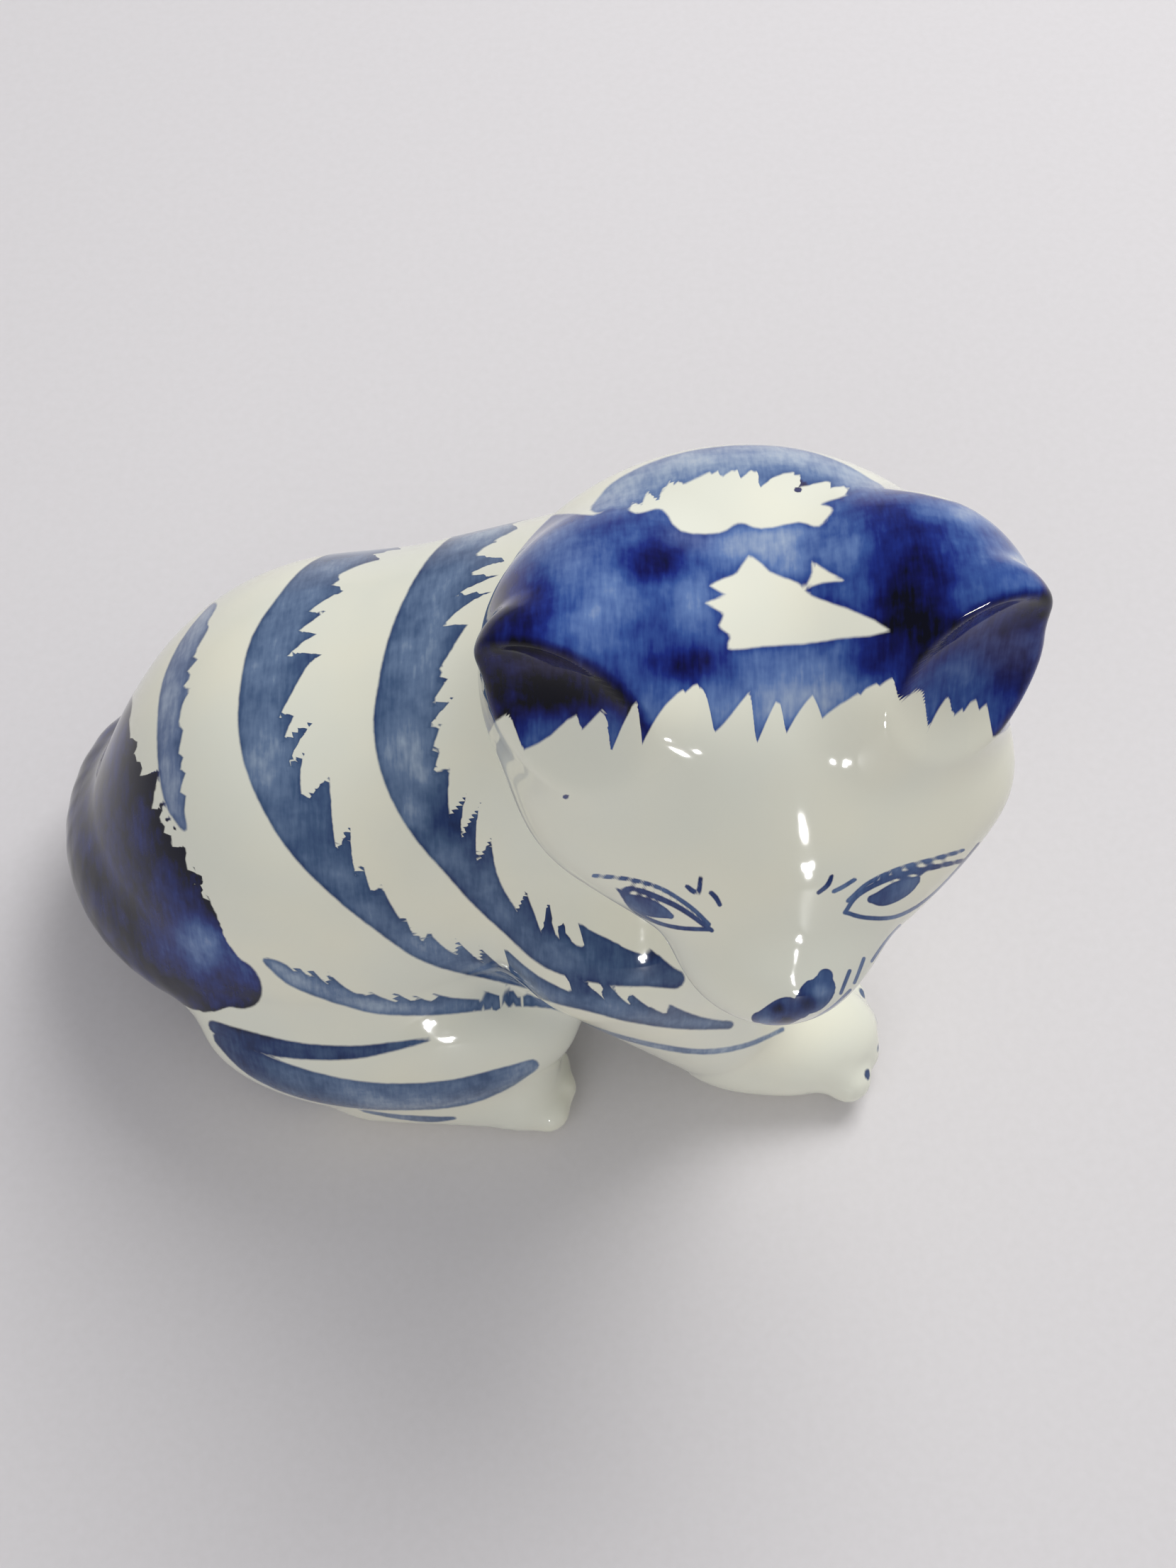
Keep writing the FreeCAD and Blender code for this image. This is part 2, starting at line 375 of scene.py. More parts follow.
@dataclass
class Ear:
    """One ear: a hood, a horn and a ridge of pressed clay with a scooped front, on the head."""

    side: Side
    hood: Egg = Egg((14.5, -3.5, 11.5), (11.0, 11.5, 9.5), turn=(0.0, 25.0, 0.0))
    horn: Limb = Limb((14.0, -6.0, 11.0), (20.5, -8.5, 18.5), 8.5, 4.2, reach=5.0)
    ridge: Limb = Limb((10.5, -11.5, 13.0), (20.5, -9.5, 18.5), 4.5, 3.4, reach=4.0)
    scoop: Egg = Egg((22.0, -20.0, 17.5), (14.0, 11.0, 13.5), turn=(0.0, 20.0, 25.0))
    edge: float = 1.2
    left_shift: float = 0.2

    def in_ear(self, p: Array) -> Array:
        """Points in the frame that both ears are shaped in: the head's, with +X outwards."""
        shift = self.left_shift if self.side is Side.LEFT else 0.0
        return in_head(p) * np.array([self.side.value, 1, 1]) - np.array([shift, 0, 0])

    def own(self, p: Array) -> Array:
        """The ear's distance field.

        Args:
            p: Points, in millimetres.

        Returns:
            How far they are outside the ear.
        """
        q = self.in_ear(p)
        near = gather((self.hood, self.horn, self.ridge), q)
        return carve(near, -self.scoop.distance(q), self.edge)

    def piece(self) -> Piece:
        """The ear.

        Returns:
            The piece, sunk into the head.
        """
        sign = self.side.value
        start = from_head((sign * 12.5, -3.0, 8.0))
        end = from_head((sign * 19.5 + (self.left_shift if sign > 0 else 0.0), -7.5, 16.8))
        return Piece(f"{self.side.name.lower()}_ear", Slot.COBALT, Spindle(start, end, 200, 220),
                     self.own, ("head_shell",))


@dataclass
class FrontLeg:
    """One front leg of pressed clay, from the shoulder to the paw and its toes."""

    side: Side
    shoulder: Point = (18.0, 14.5, 37.0)
    wrist: Point = (31.0, 18.5, 10.0)
    paw: Point = (38.5, 19.5, 6.0)
    paw_radii: Point = (11.8, 8.0, 6.7)
    paw_reach: float = 4.0
    toes: int = 4
    toe_gap: float = 3.6
    toe_front: float = 47.8
    toe_curve: float = 0.6
    toe_level: float = 4.0
    toe_radii: tuple[float, float] = (2.6, 2.9)
    toe_reach: float = 1.3
    leg_radii: tuple[float, float] = (15.5, 8.5)
    knuckle_front: float = 42.5
    knuckle_spread: float = 0.78
    knuckle_level: float = 6.6

    def toe_tips(self) -> Array:
        """The middles of the toe ends of a left paw.

        Returns:
            One point for each toe, on an arc across the paw.
        """
        spread = np.arange(self.toes) - (self.toes - 1) / 2.0
        ahead, aside = self.toe_front - self.toe_curve * spread**2, self.paw[1] + self.toe_gap * spread
        return np.stack([ahead, aside, np.full(self.toes, self.toe_level)], axis=-1)

    def own(self, p: Array) -> Array:
        """The leg's distance field.

        Args:
            p: Points, in millimetres.

        Returns:
            How far they are outside the leg.
        """
        q = p * np.array([1, self.side.value, 1])
        near = Limb(self.shoulder, self.wrist, *self.leg_radii).distance(q)
        near = melt(near, Egg(self.paw, self.paw_radii).distance(q), self.paw_reach)
        for tip in self.toe_tips():
            aside = float(self.paw[1] + self.knuckle_spread * (tip[1] - self.paw[1]))
            root = (self.knuckle_front, aside, self.knuckle_level)
            near = melt(near, Limb(root, tuple(tip), *self.toe_radii).distance(q), self.toe_reach)
        return near

    def piece(self) -> Piece:
        """The leg.

        Returns:
            The piece, sunk into the body.
        """
        sign = self.side.value
        name = self.side.name.lower()
        other = "right" if self.side is Side.LEFT else "left"
        spindle = Spindle((20.0, sign * 14.8, 34.0), (34.5, sign * 18.9, 7.0), 200, 180)
        return Piece(f"{name}_front_leg", Slot.WHITE, spindle, self.own, ("body_shell", f"{other}_front_leg"))


@dataclass
class HindFoot:
    """One hind foot of pressed clay, which shows beside the thigh."""

    side: Side
    heel: Point = (-12.0, 24.0, 5.0)
    sole: Point = (5.0, 25.8, 4.8)
    foot_radii: tuple[float, float] = (6.0, 5.6)
    toes: int = 3
    toe_gap: float = 3.0
    toe_front: float = 9.8
    toe_curve: float = 0.8
    toe_level: float = 3.5
    toe_radii: tuple[float, float] = (2.8, 2.7)
    toe_reach: float = 1.3
    knuckle_gap: float = 2.4
    knuckle_level: float = 4.4

    def own(self, p: Array) -> Array:
        """The foot's distance field.

        Args:
            p: Points, in millimetres.

        Returns:
            How far they are outside the foot.
        """
        q = p * np.array([1, self.side.value, 1])
        near = Limb(self.heel, self.sole, *self.foot_radii).distance(q)
        for toe in range(self.toes):
            spread = toe - (self.toes - 1) / 2.0
            root = (self.sole[0], self.sole[1] + self.knuckle_gap * spread, self.knuckle_level)
            ahead, aside = self.toe_front - self.toe_curve * spread**2, self.sole[1] + self.toe_gap * spread
            tip = (ahead, aside, self.toe_level)
            near = melt(near, Limb(root, tip, *self.toe_radii).distance(q), self.toe_reach)
        return near

    def piece(self) -> Piece:
        """The foot.

        Returns:
            The piece, sunk into the body.
        """
        sign = self.side.value
        spindle = Spindle((-10.0, sign * 23.8, 5.0), (5.5, sign * 25.8, 4.4), 130, 110)
        return Piece(f"{self.side.name.lower()}_hind_foot", Slot.WHITE, spindle, self.own,
                     ("body_shell",), blend=4.0)


@dataclass
class Tail:
    """The tail, rolled clay that bows round the rump and ends on the right thigh."""

    route: tuple[Point, ...] = (
        (-35.0, 18.0, 14.0), (-41.8, 12.5, 14.5), (-42.9, 4.5, 15.6),
        (-39.4, -3.6, 18.0), (-33.5, -9.6, 20.4), (-27.0, -12.8, 23.0),
    )
    radius: float = 8.6
    taper: float = 0.001
    links: int = 3
    reach: float = 0.05

    def own(self, p: Array) -> Array:
        """The tail's distance field.

        Args:
            p: Points, in millimetres.

        Returns:
            How far they are outside the tail.
        """
        line = flowing(self.route, per=self.links)
        ends = zip(line[:-1], line[1:])
        end_radius = self.radius - self.taper
        return gather([Limb(tuple(a), tuple(b), self.radius, end_radius, self.reach) for a, b in ends], p)

    def piece(self) -> Piece:
        """The tail.

        Returns:
            The piece, sunk into the body.
        """
        spindle = Spindle((-39.5, 12.5, 14.6), (-31.0, -9.8, 21.0), 190, 150, (0.28, 0.28))
        return Piece("tail", Slot.COBALT, spindle, self.own, ("body_shell",), blend=6.0)


@dataclass
class Clay:
    """The whole kitten as one field, and the skins of its pieces."""

    pieces: list[Piece] = field(default_factory=list)
    floor_edge: float = 1.3
    sink: float = 0.22
    drain: Egg = Egg((-14.0, 0.0, -1.5), (5.6, 5.6, 5.5))
    neck_reach: float = 4.0
    drain_edge: float = 0.8
    marches: int = 15
    stride: float = 0.9
    refinements: int = 7
    longest_step: float = 1.2
    shortest_step: float = 1e-5
    slopes: tuple[float, float] = (0.2, 1.6)
    probe: float = 0.04

    def __post_init__(self) -> None:
        """Gathers the pieces in the order in which they melt together, body first."""
        limbs = [make(side).piece() for make in (FrontLeg, HindFoot) for side in Side]
        ears = [Ear(side).piece() for side in Side]
        self.pieces = [Torso().piece(), *limbs, Tail().piece(), Head().piece(), *ears]

    def fields(self, piece: Piece, p: Array) -> tuple[Array, Array, Array]:
        """The fields that shape one piece.

        Args:
            piece: The piece.
            p: Points, in millimetres.

        Returns:
            The field of the whole kitten round the piece, of the piece's own clay, and of the nearest
            other piece.
        """
        groups: dict[bool, Array] = {}
        mine, rest = None, np.full(p.shape[:-1], FAR)
        for each in self.pieces:
            if each.name != piece.name and each.name not in piece.touches:
                continue
            near = each.own(p)
            if each.name == piece.name:
                mine = near
            else:
                rest = np.minimum(rest, near)
            of_head = each.name.endswith(("ear", "head_shell"))
            groups[of_head] = melt(groups[of_head], near, each.blend) if of_head in groups else near
        whole = groups.popitem()[1]
        for other in groups.values():
            whole = melt(other, whole, self.neck_reach)
        whole = carve(whole, -p[..., 2], self.floor_edge)
        if piece.name == "body_shell":
            whole = carve(whole, -self.drain.distance(p), self.drain_edge)
        return whole, mine, rest

    def sunk(self, piece: Piece, p: Array) -> Array:
        """The field whose skin is one piece.

        It is the field of the whole kitten, raised where another piece is nearer than this one, so that
        the skin dips under it, and cut a margin outside the piece's own clay.

        Args:
            piece: The piece.
            p: Points, in millimetres.

        Returns:
            The field at the points.
        """
        whole, mine, rest = self.fields(piece, p)
        return np.maximum(whole + self.sink * np.maximum(mine - rest, 0.0), mine - piece.margin)

    def skin(self, piece: Piece) -> tuple[Array, Array, tuple[int, int]]:
        """Feels for a piece's skin along its spindle's rays.

        Each ray steps on by most of its distance to the skin, and then by that distance over the slope
        that the last step met.

        Args:
            piece: The piece.

        Returns:
            The points with the two poles last, the outward normals there, and the grid's shape.
        """
        starts, directions, shape = piece.spindle.rays()
        reach = np.zeros(len(starts))
        value = self.sunk(piece, starts)
        for _ in range(self.marches):
            reach = np.maximum(reach - self.stride * value, 0.0)
            value = self.sunk(piece, starts + reach[:, None] * directions)
        slope = np.ones(len(starts))
        for _ in range(self.refinements):
            step = np.clip(-value / slope, -self.longest_step, self.longest_step)
            trial = self.sunk(piece, starts + (reach + step)[:, None] * directions)
            moved = np.abs(step) > self.shortest_step
            rise = (trial - value) / np.where(moved, step, 1.0)
            slope = np.where(moved, np.clip(rise, *self.slopes), slope)
            reach, value = reach + step, trial
        points = starts + reach[:, None] * directions
        return points, self.normals(piece, points), shape

    def normals(self, piece: Piece, p: Array) -> Array:
        """The directions in which the whole kitten's field grows fastest.

        Args:
            piece: The piece.
            p: Points on its skin.

        Returns:
            Unit vectors outwards.
        """

        def level(q: Array) -> Array:
            """The kitten's field, cut the piece's margin outside its own clay."""
            whole, mine, _ = self.fields(piece, q)
            return np.maximum(whole, mine - piece.margin)

        rise = np.stack([level(p + e) - level(p - e) for e in np.eye(3) * self.probe], axis=-1)
        return rise / np.maximum(np.linalg.norm(rise, axis=-1, keepdims=True), TINY)


# ------------------------------------------------------------------------------------------ painting


def chance(index: Array, seed: float) -> Array:
    """A fixed number from 0 to 1 for each whole number: the fraction left of a large sine."""
    return np.modf(np.abs(np.sin(index * 12.9898 + seed * 78.233)) * 43758.5453)[0]


def flowing(points: Sequence[Sequence[float]], closed: bool = False, per: int = 4) -> Array:
    """A smooth line through points, by Catmull and Rom's cubic.

    Between two points, the cubic leaves and arrives along the chord of their neighbours.

    Args:
        points: The points, with as many numbers each as wanted.
        closed: Whether the line comes back to its first point.
        per: Steps from one point to the next.

    Returns:
        The line's points.
    """
    p = np.array(points, float)
    if closed:
        p = np.concatenate([p[-1:], p, p[:2]])
    else:
        p = np.concatenate([2 * p[:1] - p[1:2], p, 2 * p[-1:] - p[-2:-1]])
    t = (np.arange(per) / per)[None, :, None]
    a, b, c, d = (p[i:len(p) - 3 + i, None] for i in range(4))
    line = 0.5 * (2 * b + (c - a) * t + (2 * a - 5 * b + 4 * c - d) * t**2 + (3 * b - a - 3 * c + d) * t**3)
    line = line.reshape(-1, p.shape[1])
    return line if closed else np.concatenate([line, p[-2:-1]])


@dataclass(frozen=True)
class Fur:
    """The ragged side of a brush mark: points like saw teeth, each with its own length."""

    length: float = 3.4
    period: float = 4.2
    lean: float = 0.45
    seed: float = 1.0
    steep: float = 0.14
    shortest: float = 0.35

    def teeth(self, along: Array) -> Array:
        """How far the teeth stand out: steep up one side, and down along a curve to the next.

        Args:
            along: How far along the mark's side each point is.

        Returns:
            The teeth's length there.
        """
        reach = np.zeros_like(along)
        large, small = (1.0, self.period, self.seed), (0.3, self.period * 0.55, self.seed + 7.0)
        for share, period, seed in (large, small):
            turns = along / period + 0.35 * np.sin(along / period * 1.7 + seed)
            index = np.floor(turns)
            u = turns - index
            size = self.shortest + (1.0 - self.shortest) * chance(index, seed)
            tooth = np.where(u < self.steep, u / self.steep, ((1.0 - u) / (1.0 - self.steep)) ** 1.25)
            reach = np.maximum(reach, share * self.length * size * tooth)
        return reach


NOWHERE = 1e6
RIM_WIDTH = 0.45
TIP_TONE = 0.13
THINNEST = 0.3
END_FADE = 12.0
FULL_FUR_WIDTH = 1.4
LEAST_FUR = 0.3
BELL_POWER = 1.5
BELL_DROP = 0.7
BARE = -20.0
FAINTEST = 1e-6
SOAK = (-6.0, 3.0)
GRIP = 3.0


@dataclass(frozen=True)
class Stroke:
    """A brush mark along a line, on the painting plane.

    Points are (across, up, half width). Tones run from the start to the end. `ragged` is the side that
    has fur: +1 is the left of the way along, -1 the right.
    """

    path: tuple[tuple[float, float, float], ...]
    tones: tuple[float, float] = (0.5, 0.5)
    fur: Union[Fur, None] = None
    ragged: int = 1
    warm: float = 0.0
    rim: float = 0.0
    bright: float = 0.0

    def depth(self, p: Array) -> tuple[Array, Array]:
        """How far points are inside the mark, and its tone there.

        The half width at the nearest point of the line, less the distance to it.

        Args:
            p: Points on the painting plane.

        Returns:
            The depths, below 0 outside, and the tones.
        """
        line = flowing(self.path) if len(self.path) > 2 else np.array(self.path)
        near = np.full(len(p), NOWHERE)
        along, side, width = np.zeros(len(p)), np.zeros(len(p)), np.zeros(len(p))
        gone = 0.0
        total = np.linalg.norm(np.diff(line[:, :2], axis=0), axis=1).sum()
        for a, b in zip(line[:-1], line[1:]):
            run = (b - a)[:2]
            length = float(np.linalg.norm(run))
            offset = p - a[:2]
            t = np.clip(offset @ run / length**2, 0.0, 1.0)
            gap = np.linalg.norm(offset - t[:, None] * run, axis=1)
            closer = gap < near
            near = np.where(closer, gap, near)
            along = np.where(closer, gone + t * length, along)
            side = np.where(closer, run[0] * offset[:, 1] - run[1] * offset[:, 0], side)
            width = np.where(closer, a[2] + t * (b[2] - a[2]), width)
            gone += length
        share = along / total
        tone = self.tones[0] + (self.tones[1] - self.tones[0]) * share
        furry = np.sign(side) == self.ragged
        smooth_edge = np.where(furry, 0.0, np.exp(-(np.maximum(width - near, 0.0) / RIM_WIDTH)))
        tone = tone + self.rim * smooth_edge
        if self.fur is not None:
            tone = tone + TIP_TONE * furry * np.clip(near / np.maximum(width, THINNEST) - 0.5, 0.0, 1.0)
            taper = np.clip(np.minimum(share, 1.0 - share) * END_FADE, 0.0, 1.0)
            taper = taper * np.clip(width / FULL_FUR_WIDTH, LEAST_FUR, 1.0)
            width = width + np.where(furry, taper * self.fur.teeth(along + self.fur.lean * near), 0.0)
        return width - near, tone


@dataclass(frozen=True)
class Patch:
    """A filled shape on the painting plane, with fur that points down from its lower edge."""

    outline: tuple[tuple[float, float], ...]
    tone: float = 0.6
    fur: Union[Fur, None] = None
    warm: float = 0.0
    bright: float = 1.0
    way: tuple[float, float] = (0.0, -1.0)
    per: int = 3

    def inside(self, p: Array) -> Array:
        """How far points are inside the outline.

        A point is inside where a line to the right from it crosses the outline an odd number of times.

        Args:
            p: Points on the painting plane.

        Returns:
            The depths without the fur.
        """
        line = flowing(self.outline, closed=True, per=self.per)
        near = np.full(len(p), NOWHERE)
        odd = np.zeros(len(p), bool)
        for a, b in zip(line, np.roll(line, -1, axis=0)):
            run = b - a
            offset = p - a
            t = np.clip(offset @ run / float(run @ run), 0.0, 1.0)
            near = np.minimum(near, ((offset - t[:, None] * run) ** 2).sum(1))
            spans = (a[1] > p[:, 1]) != (b[1] > p[:, 1])
            height = run[1] if abs(run[1]) > TINY else TINY
            odd ^= spans & (offset[:, 0] < run[0] * offset[:, 1] / height)
        return np.where(odd, 1.0, -1.0) * np.sqrt(near)

    def depth(self, p: Array) -> tuple[Array, Array]:
        """How far points are inside the patch, and its tone there.

        Args:
            p: Points on the painting plane.

        Returns:
            The depths, below 0 outside, and the tones.
        """
        value = self.inside(p)
        if self.fur is not None:
            way = np.array(self.way)
            across = p @ np.array([-way[1], way[0]])
            value = np.maximum(value, self.inside(p - self.fur.teeth(across)[:, None] * way))
        return value, np.full(len(p), self.tone)


Mark = Union[Stroke, Patch]


@dataclass(frozen=True)
class Wash:
    """A soft pool of darker, lighter or browner colour: (across, up), its half sizes and its tone."""

    middle: tuple[float, float]
    sizes: tuple[float, float]
    tone: float
    warm: float = 0.0
    strength: float = 1.0

    def share(self, p: Array) -> Array:
        """How much of the pool there is at points: a bell round its middle."""
        away = ((p - np.array(self.middle)) / np.array(self.sizes)) ** 2
        return self.strength * np.exp(-away.sum(-1) ** BELL_POWER * BELL_DROP)


@dataclass
class Coat:
    """What the brush left on points: depth inside the marks, tone, and how brown and how bright it is."""

    ink: Array
    tone: Array
    warm: Array
    bright: Array


@dataclass
class Brush:
    """Lays marks and washes on points of the painting plane."""

    marks: tuple[Mark, ...]
    washes: tuple[Wash, ...] = ()
    reserves: tuple[Patch, ...] = ()

    def paint(self, p: Array) -> Coat:
        """Paints points.

        Where marks meet, the deeper one gives most of the tone. Reserves are left white.

        Args:
            p: Points on the painting plane.

        Returns:
            The coat on them.
        """
        ink = np.full(len(p), BARE)
        weight, (tone, warm, bright) = np.full(len(p), FAINTEST), np.zeros((3, len(p)))
        for mark in self.marks:
            depth, depth_tone = mark.depth(p)
            share = np.exp(np.clip(depth, *SOAK) * GRIP)
            ink = np.maximum(ink, depth)
            weight, tone = weight + share, tone + share * depth_tone
            warm = warm + share * mark.warm
            bright = bright + share * mark.bright
        tone, warm, bright = tone / weight, warm / weight, bright / weight
        for wash in self.washes:
            share = wash.share(p)
            tone = tone + share * (wash.tone - tone)
            warm = warm + share * (wash.warm - warm)
        for reserve in self.reserves:
            ink = np.minimum(ink, -reserve.depth(p)[0])
        return Coat(ink, tone, warm, bright)


# ------------------------------------------------------------------------------------ marks

TAIL_MARK = Stroke(((-42.5, 25.0, 3.4), (-43.8, 19.5, 6.4), (-43.2, 13.0, 8.0), (-41.0, 6.0, 9.0),
                    (-36.0, -0.5, 8.6), (-30.6, -4.3, 6.6), (-26.4, -6.0, 3.4)), (0.97, 0.93),
                   Fur(3.2, 3.4, 0.6, 2.0), bright=0.75)

TAIL_WASHES = (
    Wash((-41.5, 22.0), (3.0, 2.5), 0.84),
    Wash((-36.5, 12.0), (1.8, 3.0), 0.82, strength=0.8),
    Wash((-33.5, 5.0), (2.0, 3.0), 0.8, strength=0.8),
    Wash((-30.1, -1.4), (3.8, 3.0), 0.44, -0.2, 0.95),
    Wash((-25.0, -4.0), (2.4, 2.6), 0.66, strength=0.8),
    Wash((-35.0, -3.0), (2.5, 2.0), 0.84, strength=0.7),
    Wash((-46.0, 2.0), (3.0, 3.0), 0.9, strength=0.5),
)

BODY_BRUSH = Brush(
    marks=(
        Stroke(((-29.8, 37.2, 0.9), (-31.8, 32.8, 1.4), (-33.0, 28.2, 1.6), (-33.1, 23.3, 1.5),
                (-32.7, 18.5, 1.4), (-32.0, 14.7, 1.1), (-30.7, 12.0, 0.5)), (0.42, 0.34),
               Fur(1.6, 3.0, 0.5, 1.0), warm=0.15, rim=0.1),
        Stroke(((-2.5, 48.4, 0.7), (-8.0, 47.0, 1.5), (-12.8, 44.3, 1.9), (-16.7, 41.0, 2.1),
                (-19.2, 36.5, 2.3), (-21.1, 32.5, 2.4), (-21.8, 27.9, 2.4), (-21.8, 23.1, 2.4),
                (-20.8, 18.5, 2.3), (-18.4, 13.4, 2.2), (-15.7, 9.3, 2.0), (-12.1, 5.1, 1.6),
                (-8.6, 1.7, 1.3), (-4.6, -1.9, 1.0), (-0.2, -3.9, 1.0), (4.6, -5.5, 1.0), (9.0, -6.7, 0.9),
                (14.3, -7.6, 1.0), (19.1, -9.0, 1.0), (24.5, -10.3, 0.9), (30.4, -11.2, 0.6)), (0.5, 0.52),
               Fur(4.8, 4.4, 0.8, 3.0), rim=0.16),
        Stroke(((9.5, 49.0, 0.8), (5.0, 47.6, 1.6), (1.0, 44.4, 2.1), (-1.6, 40.4, 2.5), (-3.4, 36.2, 2.7),
                (-4.7, 31.8, 2.9), (-5.5, 27.1, 3.0), (-5.9, 22.5, 3.0), (-5.1, 17.5, 2.7),
                (-3.0, 12.5, 2.2), (-0.3, 8.4, 1.7), (2.5, 4.6, 1.5), (5.9, 1.2, 1.5), (10.1, -2.1, 1.6),
                (16.1, -3.4, 1.8), (20.2, -3.6, 1.8), (23.5, -4.6, 1.2)), (0.48, 0.62),
               Fur(4.8, 4.1, 0.8, 5.0), rim=0.14),
        Stroke(((-22.0, -3.0, 0.5), (-19.6, -5.0, 0.9), (-16.6, -6.4, 1.0), (-13.6, -7.6, 1.0),
                (-9.9, -8.8, 0.9), (-4.2, -9.2, 0.8), (0.6, -9.0, 0.7), (5.4, -8.7, 0.6),
                (9.8, -9.2, 0.55)), (0.42, 0.42), Fur(3.6, 3.1, 0.7, 9.0), rim=0.1),
        Stroke(((9.8, -9.2, 0.55), (16.5, -12.0, 0.5), (25.8, -14.5, 0.5), (31.8, -14.5, 0.45),
                (37.6, -13.0, 0.35)), (0.4, 0.36)),
        # the dark line along the top of the thigh: partly cobalt paint and partly painted shade in the crease
        # between the thigh and the body
        Stroke(((-30.4, -12.0, 0.9), (-24.9, -13.6, 1.3), (-19.2, -14.4, 1.1), (-13.2, -14.4, 0.9),
                (-8.3, -13.6, 0.6), (-4.4, -12.8, 0.3)), (0.8, 0.62)),
        Stroke(((-29.6, -13.6, 1.2), (-25.6, -16.6, 2.1), (-20.4, -18.8, 2.4), (-14.2, -20.2, 2.3),
                (-8.0, -20.6, 2.2), (-1.8, -20.2, 2.2), (3.4, -18.6, 1.8), (7.2, -16.9, 1.0)),
               (0.74, 0.44)),
        Stroke(((-13.4, -22.9, 0.3), (-9.4, -23.9, 0.5), (-5.4, -24.4, 0.6), (-2.4, -24.2, 0.3)),
               (0.4, 0.55)),
        TAIL_MARK,
    ),
    washes=(
        Wash((-5.5, 19.0), (3.0, 4.5), 0.32, strength=0.7),
        Wash((-5.0, 30.0), (3.0, 3.5), 0.4, strength=0.5),
        Wash((3.0, 45.5), (3.0, 2.5), 0.34, strength=0.6),
        Wash((-21.0, 20.0), (3.0, 6.0), 0.42, strength=0.6),
        Wash((-19.4, 34.0), (1.8, 3.0), 0.58, strength=0.6),
        Wash((-17.5, 12.0), (2.4, 2.6), 0.6, strength=0.7),
        Wash((-1.2, 12.5), (1.8, 2.2), 0.84, strength=0.9),
        Wash((3.4, 6.0), (2.0, 2.0), 0.6, strength=0.7),
        Wash((12.0, -2.0), (3.0, 2.0), 0.5, strength=0.6),
        Wash((19.0, -3.2), (4.0, 2.0), 0.7, strength=0.8),
        Wash((-3.0, -2.0), (4.0, 2.0), 0.38, strength=0.6),
        Wash((-26.5, -14.5), (4.5, 3.0), 0.82, strength=0.8),
        Wash((-12.0, -20.0), (5.0, 2.4), 0.34, strength=0.7),
        Wash((1.5, -19.5), (3.0, 2.0), 0.56, strength=0.6),
        *TAIL_WASHES,
    ),
)

TAIL_BRUSH = Brush(
    marks=(Patch(((-70.0, 60.0), (-23.0, 60.0), (-23.0, -30.0), (-70.0, -30.0)), 0.97, bright=0.75, per=1),),
    washes=TAIL_WASHES,
)

